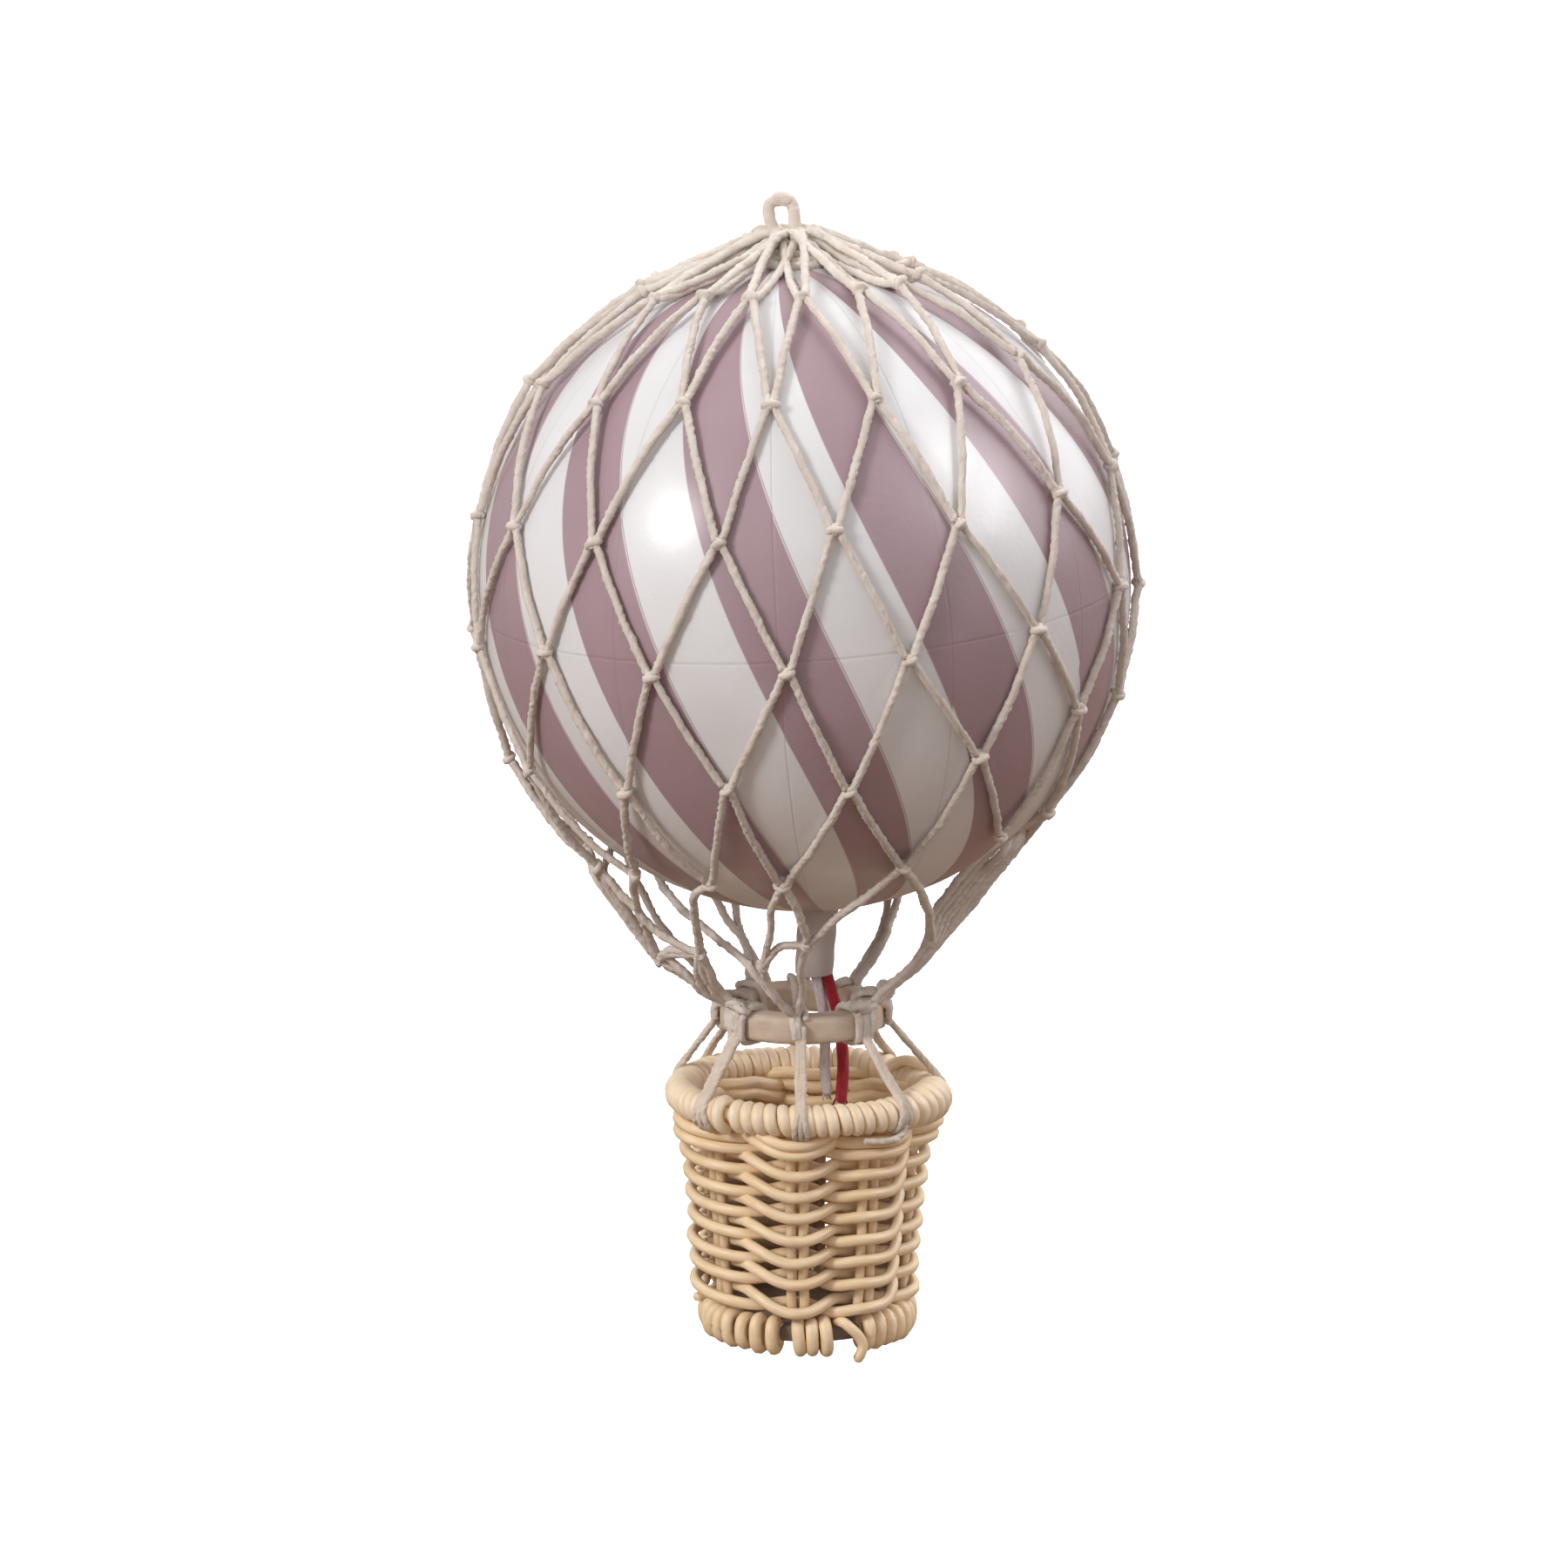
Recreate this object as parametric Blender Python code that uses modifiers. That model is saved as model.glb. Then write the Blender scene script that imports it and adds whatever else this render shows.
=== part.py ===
"""A small decorative balloon that hangs by a cord loop.

A paper covered ball sits in a knotted cotton net. The net's cords are lashed to a turned wood ring,
and eight stays carry a woven cane basket below it. Two ribbons hang out of the ball's paper neck.

Metres, +Z up, +X to the right and -Y to the front. The origin is the inner top of the hanging loop.
Azimuths are in degrees about a vertical axis: 0 is the front (-Y) and 90 is the right (+X).
"""
import math

import bmesh
import bpy
from mathutils import Vector

MM = 0.001
GAP = 0.3 * MM                      # clear space kept between pieces that touch

# Cord and cane stock
CORD_RADIUS = 0.75 * MM
CANE_RADIUS = 0.8 * MM
STAKE_RADIUS = 0.75 * MM

# Envelope: the ball and its neck
BALL_RADIUS = 50.0 * MM
BALL_X = 3.3 * MM
BALL_Z = -58.2 * MM
BALL_SEGMENTS = 40
BALL_RINGS = 24
NECK_TOP_X = 5.7 * MM
NECK_LEAN = -0.7 * MM               # how far the neck's mouth lies from its top, along X
NECK_TOP_RADIUS = 3.1 * MM
NECK_MOUTH_RADIUS = 2.95 * MM
NECK_WALL = 0.4 * MM
NECK_TOP_Z = -108.5 * MM
NECK_MOUTH_Z = -119.2 * MM

# Hanging loop
LOOP_RADIUS = 0.95 * MM
LOOP_HALF_WIDTH = 2.0 * MM          # middle of the opening to the middle of the cord
LOOP_FOOT_Z = -3.1 * MM

# Crown gather
CROWN_X = 1.4 * MM

# Net: rows of knots from the crown down, in a frame that leans to the left
NET_LEAN = 4.7                      # degrees, the net's pole towards -X
NET_MESHES = 16
NET_RADIUS = BALL_RADIUS + 1.3 * MM
NET_CORD = 1.2 * MM
CORNER_LIMIT = 2.4                  # longest corner at a knot, in half thicknesses
NET_TOP_RADIUS = 6.6 * MM
NET_TOP_HEIGHT = 52.8 * MM          # above the ball's centre
NET_ROWS = (66.0, 42.3, 18.4, -2.6, -24.5, -47.0)    # latitudes of the knots, in degrees
NET_DRIFT = -1.0                    # degrees that each row lags behind the one above

# Load ring
RING_X = 3.1 * MM
RING_RADIUS = 12.7 * MM
RING_WALL = 3.6 * MM
RING_TOP_Z = -123.4 * MM
RING_HEIGHT = 4.4 * MM
RING_EDGE = 0.5 * MM

# Azimuths of the eight lashings, legs and stays
TIE_AZIMUTHS = (-3.0, 46.0, 100.0, 143.0, 185.0, 228.0, 266.0, 312.0)

# Net legs: the cords from the lowest knots on the ball to the ring
LEG_CONE = math.radians(42.0)       # how far the legs' outward side looks down
LEG_FOOT_RADIUS = 12.6 * MM
LEG_FOOT_Z = -120.5 * MM
LEG_FOOT_HALF = 1.1 * MM
LEG_FORK_RADIUS = 14.2 * MM
LEG_FORK_Z = -119.0 * MM
LEG_FORK_HALF = 1.1 * MM
LEG_KNOT_RADIUS = 19.5 * MM
LEG_KNOT_Z = -115.0 * MM
LEG_KNOT_HALF = 0.8 * MM
LEG_TOP_GAP = 2.2 * MM              # from the net's lowest knot to the leg below it
LEG_SIDE_GAP = 4.2 * MM             # the same, where two legs share the knot

# Basket
BASKET_X = 4.1 * MM
RIM_RADIUS = 19.7 * MM              # to the middle of the border
RIM_SECTION = 2.4 * MM
RIM_Z = -138.1 * MM
STAKE_GROUPS = 8
STAKE_FIRST_AZIMUTH = -6.0
STAKE_HALF_PITCH = 0.97 * MM        # half the distance between the two legs of a stake
STAKE_TOP_Z = -140.9 * MM
STAKE_TOP_RADIUS = 17.0 * MM
WALL_TOP_Z = -143.0 * MM
WALL_TOP_RADIUS = 16.6 * MM
WALL_FOOT_Z = -170.6 * MM
WALL_FOOT_RADIUS = 14.7 * MM
WEAVE_FIRST_Z = -143.0 * MM         # first row, at the front
WEAVE_PITCH = 3.55 * MM
WEAVE_START_AZIMUTH = -150.0
WEAVE_END_AZIMUTH = 75.0 + 7 * 360.0
WEAVE_SWING = 2.1 * MM              # how far a weaver passes outside or inside the stakes
WEAVE_DIP = 0.5 * MM                # a weaver hangs lower where it is outside
WEAVE_CROSS = 0.8 * MM              # half the offset of the two weavers where they cross
WEAVE_STEPS = 4                     # points from one stake to the next
BASE_RADIUS = 14.2 * MM
BASE_TOP_Z = -172.2 * MM
BASE_THICKNESS = 2.4 * MM
WRAP_RADIUS = 17.0 * MM
WRAP_INNER = 12.6 * MM
WRAP_TOP_Z = -170.9 * MM
WRAP_FOOT_Z = -175.9 * MM

# Ribbons: x, z along their way down, in the plane y = 0
RIBBON_RADIUS = 0.7 * MM
WHITE_ROUTE = ((4.8, -108.8), (4.75, -113.0), (4.9, -117.5), (5.7, -121.5), (6.5, -126.0),
               (6.7, -130.0), (6.7, -134.5), (7.2, -138.9))
RED_ROUTE = ((6.6, -108.8), (6.5, -113.0), (6.55, -117.5), (7.5, -121.5), (8.7, -126.0),
             (9.3, -130.0), (9.5, -135.0), (9.2, -140.3))
RIBBON_STEP = 2.6 * MM

COLOURS = {
    "cotton": ((0.80, 0.72, 0.64), 0.9),
    "paper": ((0.62, 0.48, 0.49), 0.5),
    "wood": ((0.70, 0.58, 0.44), 0.55),
    "cane": ((0.85, 0.70, 0.46), 0.6),
    "board": ((0.38, 0.31, 0.25), 0.8),
    "white ribbon": ((0.88, 0.86, 0.88), 0.7),
    "red ribbon": ((0.60, 0.05, 0.07), 0.7),
}


def clear_scene():
    for item in list(bpy.data.objects):
        bpy.data.objects.remove(item)


def make_collection(name):
    collection = bpy.data.collections.new(name)
    bpy.context.scene.collection.children.link(collection)
    return collection


def make_material(name, finish):
    colour, roughness = COLOURS[finish]
    material = bpy.data.materials.new(name)
    material.use_nodes = True
    shader = material.node_tree.nodes["Principled BSDF"]
    shader.inputs["Base Color"].default_value = (*colour, 1.0)
    shader.inputs["Roughness"].default_value = roughness
    shader.inputs["Metallic"].default_value = 0.0
    return material


def add_object(name, data, finish, collection):
    item = bpy.data.objects.new(name, data)
    data.materials.append(make_material(name, finish))
    collection.objects.link(item)
    return item


def polar(radius, azimuth, height, centre_x=0.0):
    """A point at an azimuth in degrees about a vertical axis."""
    angle = math.radians(azimuth)
    return Vector((centre_x + radius * math.sin(angle), -radius * math.cos(angle), height))


def turned(name, profile, steps, finish, collection, centre_x=0.0):
    """A closed profile of (radius, height) points, turned about a vertical axis."""
    mesh = bpy.data.meshes.new(name)
    count = len(profile)
    edges = [(index, (index + 1) % count) for index in range(count)]
    mesh.from_pydata([(radius, 0.0, height) for radius, height in profile], edges, [])
    item = add_object(name, mesh, finish, collection)
    item.location = (centre_x, 0.0, 0.0)
    screw = item.modifiers.new("Turn", "SCREW")
    screw.steps = steps
    screw.render_steps = steps
    screw.use_merge_vertices = True
    screw.merge_threshold = 0.00001
    screw.use_smooth_shade = True
    return item


def solid_turned(name, profile, steps, finish, collection, centre_x=0.0):
    """An open profile from the axis to the axis, turned into a solid."""
    item = turned(name, profile, steps, finish, collection, centre_x)
    edges = [(index, index + 1) for index in range(len(profile) - 1)]
    mesh = item.data
    mesh.clear_geometry()
    mesh.from_pydata([(radius, 0.0, height) for radius, height in profile], edges, [])
    return item


def tube(name, points, radius, finish, collection, closed=False, resolution=1):
    """A cord or cane along a polyline."""
    curve = bpy.data.curves.new(name, "CURVE")
    curve.dimensions = "3D"
    curve.bevel_depth = radius
    curve.bevel_resolution = resolution
    curve.use_fill_caps = not closed
    spline = curve.splines.new("POLY")
    spline.points.add(len(points) - 1)
    for target, point in zip(spline.points, points):
        target.co = (*point, 1.0)
    spline.use_cyclic_u = closed
    return add_object(name, curve, finish, collection)


def smooth_route(knots, step):
    """Points about one step apart on a smooth curve through the knots."""
    points = []
    last = len(knots) - 1
    for index in range(last):
        before = knots[max(index - 1, 0)]
        start = knots[index]
        end = knots[index + 1]
        after = knots[min(index + 2, last)]
        count = max(1, round((end - start).length / step))
        for part in range(count):
            t = part / count
            points.append(0.5 * (2 * start + (end - before) * t
                                 + (2 * before - 5 * start + 4 * end - after) * t ** 2
                                 + (3 * start - before - 3 * end + after) * t ** 3))
    points.append(knots[last])
    return points


def make_envelope(collection):
    bpy.ops.mesh.primitive_uv_sphere_add(segments=BALL_SEGMENTS, ring_count=BALL_RINGS, radius=BALL_RADIUS,
                                         location=(BALL_X, 0.0, BALL_Z))
    ball = bpy.context.active_object
    for owner in list(ball.users_collection):
        owner.objects.unlink(ball)
    collection.objects.link(ball)
    ball.name = "envelope"
    ball.data.materials.append(make_material("envelope", "paper"))
    ball.data.shade_smooth()


def make_neck(collection):
    """A tapered paper tube whose mouth is open. It leans a little to the left."""
    profile = ((NECK_TOP_RADIUS, NECK_TOP_Z), (NECK_MOUTH_RADIUS, NECK_MOUTH_Z),
               (NECK_MOUTH_RADIUS - NECK_WALL, NECK_MOUTH_Z), (NECK_TOP_RADIUS - NECK_WALL, NECK_TOP_Z))
    neck = turned("envelope_neck", profile, 20, "paper", collection, NECK_TOP_X)
    lean = NECK_LEAN / (NECK_MOUTH_Z - NECK_TOP_Z)
    neck.rotation_euler = (0.0, math.atan(lean), 0.0)
    pivot = Vector((0.0, 0.0, NECK_TOP_Z))
    neck.location = Vector((NECK_TOP_X, 0.0, NECK_TOP_Z)) - neck.rotation_euler.to_matrix() @ pivot


def make_hanging_loop(collection):
    """An arch of cord whose two feet stand on the crown gather."""
    points = [Vector((-LOOP_HALF_WIDTH * 0.85, 0.0, LOOP_FOOT_Z))]
    arch_z = LOOP_RADIUS - LOOP_HALF_WIDTH
    for step in range(9):
        angle = math.pi * (1.0 - step / 8.0)
        points.append(Vector((LOOP_HALF_WIDTH * math.cos(angle), 0.0, arch_z + LOOP_HALF_WIDTH * math.sin(angle))))
    points.append(Vector((LOOP_HALF_WIDTH, 0.0, LOOP_FOOT_Z)))
    tube("hanging_loop", points, LOOP_RADIUS, "cotton", collection, resolution=2)


def make_crown(collection):
    """The knot in which the net's cords meet: a flat cap on a core that stands on the ball."""
    profile = ((0.0, -3.4 * MM), (4.0 * MM, -3.4 * MM), (5.4 * MM, -4.4 * MM), (5.6 * MM, -5.4 * MM),
               (4.6 * MM, -6.1 * MM), (2.6 * MM, -6.4 * MM), (2.4 * MM, -7.9 * MM), (0.0, -7.9 * MM))
    solid_turned("net_crown", profile, 24, "cotton", collection, CROWN_X)


def net_point(row, column):
    """A knot of the net, at a whole or half column. Row 0 is the first row of knots."""
    azimuth = (column + 0.5 * ((row + 1) % 2)) * 360.0 / NET_MESHES + NET_DRIFT * row
    latitude = math.radians(NET_ROWS[row])
    point = polar(NET_RADIUS * math.cos(latitude), azimuth, NET_RADIUS * math.sin(latitude))
    return lean_net(point)


def lean_net(point):
    """Turns a point about the ball's centre to the left, and moves it to the ball."""
    angle = math.radians(NET_LEAN)
    x = point.x * math.cos(angle) - point.z * math.sin(angle)
    z = point.x * math.sin(angle) + point.z * math.cos(angle)
    return Vector((x + BALL_X, point.y, z + BALL_Z))


def corner(ways, normal, index):
    """The place beside cord number index, between it and the next one counter-clockwise."""
    way = ways[index]
    side = normal.cross(way).normalized()
    if len(ways) == 1:
        return side
    after = ways[(index + 1) % len(ways)]
    angle = math.atan2(after.dot(side), after.dot(way)) % (2.0 * math.pi)
    middle = way * math.cos(angle / 2.0) + side * math.sin(angle / 2.0)
    return middle * min(1.0 / math.sin(angle / 2.0), CORNER_LIMIT)


def cord_lattice(name, places, links, finish, collection):
    """Four sided cords that meet in knots on a curved surface, as one closed body.

    A place is (point, outward normal, half thickness). A link joins two places by their numbers.
    """
    net = bmesh.new()
    outer = [net.verts.new(point + normal * half) for point, normal, half in places]
    inner = [net.verts.new(point - normal * half) for point, normal, half in places]
    left = {}
    right = {}
    for number, (point, normal, half) in enumerate(places):
        ends = [end for link in links if number in link for end in link if end != number]
        flat = {}
        for end in ends:
            way = places[end][0] - point
            flat[end] = (way - normal * way.dot(normal)).normalized()
        first = flat[ends[0]]
        side = normal.cross(first)
        ends.sort(key=lambda end: math.atan2(flat[end].dot(side), flat[end].dot(first)) % (2.0 * math.pi))
        ways = [flat[end] for end in ends]
        for index, end in enumerate(ends):
            vertex = net.verts.new(point + corner(ways, normal, index) * half)
            left[number, end] = vertex
            right[number, ends[(index + 1) % len(ends)]] = vertex
        if len(ends) == 1:
            right[number, ends[0]] = net.verts.new(point - corner(ways, normal, 0) * half)
            net.faces.new((outer[number], left[number, ends[0]], inner[number], right[number, ends[0]]))
    for start, end in links:
        near = (outer[start], left[start, end], inner[start], right[start, end])
        far = (outer[end], right[end, start], inner[end], left[end, start])
        for side in range(4):
            after = (side + 1) % 4
            net.faces.new((near[side], far[side], far[after], near[after]))
    bmesh.ops.recalc_face_normals(net, faces=net.faces[:])
    mesh = bpy.data.meshes.new(name)
    net.to_mesh(mesh)
    net.free()
    return add_object(name, mesh, finish, collection)


def on_ball(point):
    """A place on the net's sphere, on the line from the ball's centre through a point."""
    out = (point - Vector((BALL_X, 0.0, BALL_Z))).normalized()
    return (Vector((BALL_X, 0.0, BALL_Z)) + out * NET_RADIUS, out, NET_CORD / 2.0)


def make_net(collection):
    """Diamond meshes over the ball. Each cord bends once between its two knots to follow the ball."""
    places = []
    links = []
    rows = len(NET_ROWS)
    for row in range(rows):
        for column in range(NET_MESHES):
            places.append(on_ball(net_point(row, column)))
    for row in range(rows - 1):
        for column in range(NET_MESHES):
            for side in (0, 1):
                start = row * NET_MESHES + column
                end = (row + 1) * NET_MESHES + (column - (row % 2) + side) % NET_MESHES
                links.append((start, len(places)))
                links.append((len(places), end))
                places.append(on_ball((places[start][0] + places[end][0]) / 2.0))
    for column in range(NET_MESHES):
        azimuth = (column + 0.5) * 360.0 / NET_MESHES
        links.append((column, len(places)))
        places.append((polar(NET_TOP_RADIUS, azimuth, BALL_Z + NET_TOP_HEIGHT, CROWN_X),
                       Vector((0.0, 0.0, 1.0)), NET_CORD / 2.0))
    cord_lattice("net", places, links, "cotton", collection)


def make_leg(index, collection):
    """One bundle of net cords: a foot at the ring, two knots, and cords from them up to the ball."""
    azimuth = TIE_AZIMUTHS[index]
    column = index * 2
    pitch = 360.0 / NET_MESHES

    def place(point, at, half):
        """Outward is across the cone on which the legs lie."""
        out = polar(math.cos(LEG_CONE), at, -math.sin(LEG_CONE))
        return (point, out, half)

    last_row = len(NET_ROWS) - 1
    places = [
        place(polar(LEG_FOOT_RADIUS, azimuth, LEG_FOOT_Z, RING_X), azimuth, LEG_FOOT_HALF),
        place(polar(LEG_FORK_RADIUS, azimuth, LEG_FORK_Z, RING_X), azimuth, LEG_FORK_HALF)]
    for side in (-0.5, 0.5):
        at = (column + side) * pitch
        places.append(place(polar(LEG_KNOT_RADIUS, at, LEG_KNOT_Z, BALL_X), at, LEG_KNOT_HALF))
    for turn in (-1, 0, 1):
        knot = net_point(last_row, column + turn)
        below = places[2][0] if turn < 0 else places[3][0] if turn > 0 else (places[2][0] + places[3][0]) / 2.0
        way = (knot - below).normalized()
        short = LEG_TOP_GAP if turn == 0 else LEG_SIDE_GAP
        places.append(place(knot - way * short, (column + turn) * pitch, NET_CORD / 2.0))
    links = [(0, 1), (1, 2), (1, 3), (2, 4), (2, 5), (3, 5), (3, 6)]
    cord_lattice("net_leg_%d" % (index + 1), places, links, "cotton", collection)


def make_ring(collection):
    outer = RING_RADIUS
    inner = RING_RADIUS - RING_WALL
    top = RING_TOP_Z
    foot = RING_TOP_Z - RING_HEIGHT
    edge = RING_EDGE
    profile = ((outer - edge, top), (outer, top - edge), (outer, foot + edge), (outer - edge, foot),
               (inner + edge, foot), (inner, foot + edge), (inner, top - edge), (inner + edge, top))
    turned("load_ring", profile, 40, "wood", collection, RING_X)


def make_lashing(index, collection):
    """Cord wrapped round the ring's section, seen as one band."""
    azimuth = TIE_AZIMUTHS[index]
    away = CORD_RADIUS + GAP
    outer = RING_RADIUS + away
    inner = RING_RADIUS - RING_WALL - away
    top = RING_TOP_Z + away
    foot = RING_TOP_Z - RING_HEIGHT - away
    round_off = 0.6 * MM
    section = ((outer, top - round_off), (outer, foot + round_off), (outer - round_off, foot),
               (inner + round_off, foot), (inner, foot + round_off), (inner, top - round_off),
               (inner + round_off, top), (outer - round_off, top))
    points = [polar(radius, azimuth, height, RING_X) for radius, height in section]
    tube("ring_lashing_%d" % (index + 1), points, CORD_RADIUS, "cotton", collection, closed=True)


def make_stay(index, collection):
    """From under its lashing straight to the rim, round the rim's outer side and under it."""
    azimuth = TIE_AZIMUTHS[index]
    away = RIM_SECTION + CORD_RADIUS + GAP
    start_radius = RING_RADIUS + 0.5 * MM
    start_z = RING_TOP_Z - RING_HEIGHT - 2.0 * CORD_RADIUS - 3.0 * GAP
    shift = RING_X - BASKET_X
    across = start_radius + shift * math.sin(math.radians(azimuth)) - RIM_RADIUS
    rise = start_z - RIM_Z
    tangent = math.atan2(rise, across) - math.acos(away / math.hypot(across, rise))
    last = math.radians(-62.0)
    points = [polar(start_radius + shift * math.sin(math.radians(azimuth)), azimuth, start_z, BASKET_X)]
    for step in range(7):
        angle = tangent + (last - tangent) * step / 6.0
        points.append(polar(RIM_RADIUS + away * math.cos(angle), azimuth,
                            RIM_Z + away * math.sin(angle), BASKET_X))
    tube("basket_stay_%d" % (index + 1), points, CORD_RADIUS, "cotton", collection)


def make_rim(collection):
    bpy.ops.mesh.primitive_torus_add(location=(BASKET_X, 0.0, RIM_Z), major_segments=44, minor_segments=8,
                                     major_radius=RIM_RADIUS, minor_radius=RIM_SECTION)
    rim = bpy.context.active_object
    for owner in list(rim.users_collection):
        owner.objects.unlink(rim)
    collection.objects.link(rim)
    rim.name = "basket_rim"
    rim.data.materials.append(make_material("basket_rim", "cane"))
    rim.data.shade_smooth()


def wall_radius(height):
    """The radius of the ring of stakes at a height."""
    share = (height - WALL_FOOT_Z) / (WALL_TOP_Z - WALL_FOOT_Z)
    return WALL_FOOT_RADIUS + (WALL_TOP_RADIUS - WALL_FOOT_RADIUS) * share


def make_stake(index, collection):
    """A cane bent into a narrow U: two uprights that meet above the base."""
    azimuth = STAKE_FIRST_AZIMUTH + index * 360.0 / STAKE_GROUPS
    out = polar(1.0, azimuth, 0.0)
    along = Vector((-out.y, out.x, 0.0))
    bend_z = WALL_FOOT_Z + STAKE_RADIUS + STAKE_HALF_PITCH
    side = [(STAKE_HALF_PITCH, STAKE_TOP_RADIUS, STAKE_TOP_Z),
            (STAKE_HALF_PITCH, WALL_TOP_RADIUS, WALL_TOP_Z),
            (STAKE_HALF_PITCH, wall_radius(bend_z), bend_z)]
    bend = []
    for step in range(1, 6):
        angle = math.pi * step / 6.0
        height = bend_z - STAKE_HALF_PITCH * math.sin(angle)
        bend.append((STAKE_HALF_PITCH * math.cos(angle), wall_radius(bend_z), height))
    other = [(-offset, radius, height) for offset, radius, height in reversed(side)]
    centre = Vector((BASKET_X, 0.0, 0.0))
    points = [centre + out * radius + along * offset + Vector((0.0, 0.0, height))
              for offset, radius, height in side + bend + other]
    tube("basket_stake_%d" % (index + 1), points, STAKE_RADIUS, "cane", collection)


def make_weaver(strand, collection):
    """One of the two canes that wind down the stakes, outside one stake and inside the next."""
    pitch = 360.0 / STAKE_GROUPS
    first = (WEAVE_START_AZIMUTH - STAKE_FIRST_AZIMUTH) / pitch
    last = (WEAVE_END_AZIMUTH - STAKE_FIRST_AZIMUTH) / pitch
    count = round((last - first) * WEAVE_STEPS)
    points = []
    for step in range(count + 1):
        place = first + step / WEAVE_STEPS
        azimuth = STAKE_FIRST_AZIMUTH + place * pitch
        gap = math.floor(place)
        outside = math.cos(math.pi * (place + strand))
        going_in = (gap + strand) % 2 == 0
        crossing = (STAKE_FIRST_AZIMUTH + (gap + 0.5) * pitch) % 360.0
        in_front = going_in == (crossing < 180.0)
        cross = WEAVE_CROSS * math.sin(math.pi * place) ** 2 * (1.0 if in_front else -1.0)
        height = WEAVE_FIRST_Z - WEAVE_PITCH * place / STAKE_GROUPS
        radius = wall_radius(height) + WEAVE_SWING * outside + cross
        points.append(polar(radius, azimuth, height - WEAVE_DIP * outside + cross, BASKET_X))
    tube("basket_weaver_%d" % (strand + 1), points, CANE_RADIUS, "cane", collection, resolution=0)


def make_base(collection):
    """The board, and the cane that wraps its edge as a channel open to the inside."""
    bpy.ops.mesh.primitive_cylinder_add(vertices=40, radius=BASE_RADIUS, depth=BASE_THICKNESS,
                                        location=(BASKET_X, 0.0, BASE_TOP_Z - BASE_THICKNESS / 2.0))
    board = bpy.context.active_object
    for owner in list(board.users_collection):
        owner.objects.unlink(board)
    collection.objects.link(board)
    board.name = "basket_base"
    board.data.materials.append(make_material("basket_base", "board"))
    inner = BASE_RADIUS + GAP
    lip_top = BASE_TOP_Z + GAP
    lip_foot = BASE_TOP_Z - BASE_THICKNESS - GAP
    shoulder = 1.2 * MM
    profile = ((WRAP_INNER, WRAP_TOP_Z), (WRAP_RADIUS - shoulder, WRAP_TOP_Z),
               (WRAP_RADIUS, WRAP_TOP_Z - shoulder), (WRAP_RADIUS, WRAP_FOOT_Z + shoulder),
               (WRAP_RADIUS - shoulder, WRAP_FOOT_Z), (WRAP_INNER, WRAP_FOOT_Z),
               (WRAP_INNER, lip_foot), (inner, lip_foot), (inner, lip_top), (WRAP_INNER, lip_top))
    turned("base_wrap", profile, 40, "cane", collection, BASKET_X)


def make_ribbon(name, route, finish, collection):
    knots = [Vector((x * MM, 0.0, z * MM)) for x, z in route]
    tube(name, smooth_route(knots, RIBBON_STEP), RIBBON_RADIUS, finish, collection, resolution=2)


def main():
    clear_scene()
    parts = make_collection("hanging balloon")
    make_envelope(parts)
    make_neck(parts)
    make_hanging_loop(parts)
    make_crown(parts)
    make_net(parts)
    make_ring(parts)
    for index in range(len(TIE_AZIMUTHS)):
        make_leg(index, parts)
        make_lashing(index, parts)
        make_stay(index, parts)
    make_rim(parts)
    for index in range(STAKE_GROUPS):
        make_stake(index, parts)
    for strand in (0, 1):
        make_weaver(strand, parts)
    make_base(parts)
    make_ribbon("ribbon_white", WHITE_ROUTE, "white ribbon", parts)
    make_ribbon("ribbon_red", RED_ROUTE, "red ribbon", parts)


main()
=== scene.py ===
# %% [markdown]
# # A small hanging balloon, dressed for its picture
#
# The real thing is a decoration the size of a hand. A paper covered ball sits in a knotted cotton net,
# the net's cords are lashed to a turned wood ring, and eight stays carry a woven cane basket.
# The CAD model gives every size and place. This lesson builds what the eye sees around it: twisted cord,
# knots, wrapped cane, printed paper and the soft light of a small studio.
#
# Lengths are worked out in millimetres and turned into metres when a mesh is made.
# Azimuths go round a vertical axis in degrees: 0 is the front and 90 is the right.

# %% Tools, and the frame that the CAD model gives
import math

import bpy
import numpy as np
from mathutils import Matrix, Vector


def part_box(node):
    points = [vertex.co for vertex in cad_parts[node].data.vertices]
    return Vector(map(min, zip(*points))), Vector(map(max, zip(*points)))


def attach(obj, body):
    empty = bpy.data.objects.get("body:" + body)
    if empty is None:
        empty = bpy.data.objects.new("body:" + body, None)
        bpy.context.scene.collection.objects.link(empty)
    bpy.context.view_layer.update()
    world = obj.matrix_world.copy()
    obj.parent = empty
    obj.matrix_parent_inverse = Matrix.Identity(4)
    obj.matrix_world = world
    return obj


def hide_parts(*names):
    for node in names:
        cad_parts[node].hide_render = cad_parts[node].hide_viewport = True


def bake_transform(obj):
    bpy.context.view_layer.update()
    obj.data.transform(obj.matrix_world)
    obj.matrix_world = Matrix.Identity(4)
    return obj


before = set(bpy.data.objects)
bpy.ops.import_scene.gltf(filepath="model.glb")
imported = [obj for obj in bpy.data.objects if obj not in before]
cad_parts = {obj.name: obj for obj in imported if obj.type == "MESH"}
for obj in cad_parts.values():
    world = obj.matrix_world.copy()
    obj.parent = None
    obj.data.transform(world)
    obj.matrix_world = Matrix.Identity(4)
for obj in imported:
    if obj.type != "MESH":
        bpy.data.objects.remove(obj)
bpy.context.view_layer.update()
MM = 0.001

# %% [markdown]
# ## Sizes, read from the solids
#
# A number that the CAD model already holds is better read than typed again, because it then stays right
# when the model changes. Each solid's box gives its middle, its radius and its height.

# %% Sizes of the main pieces


def box_mm(node):
    low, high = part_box(node)
    return np.array(low) / MM, np.array(high) / MM


def middle_and_half(node):
    low, high = box_mm(node)
    return (low + high) / 2, (high - low) / 2


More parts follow.
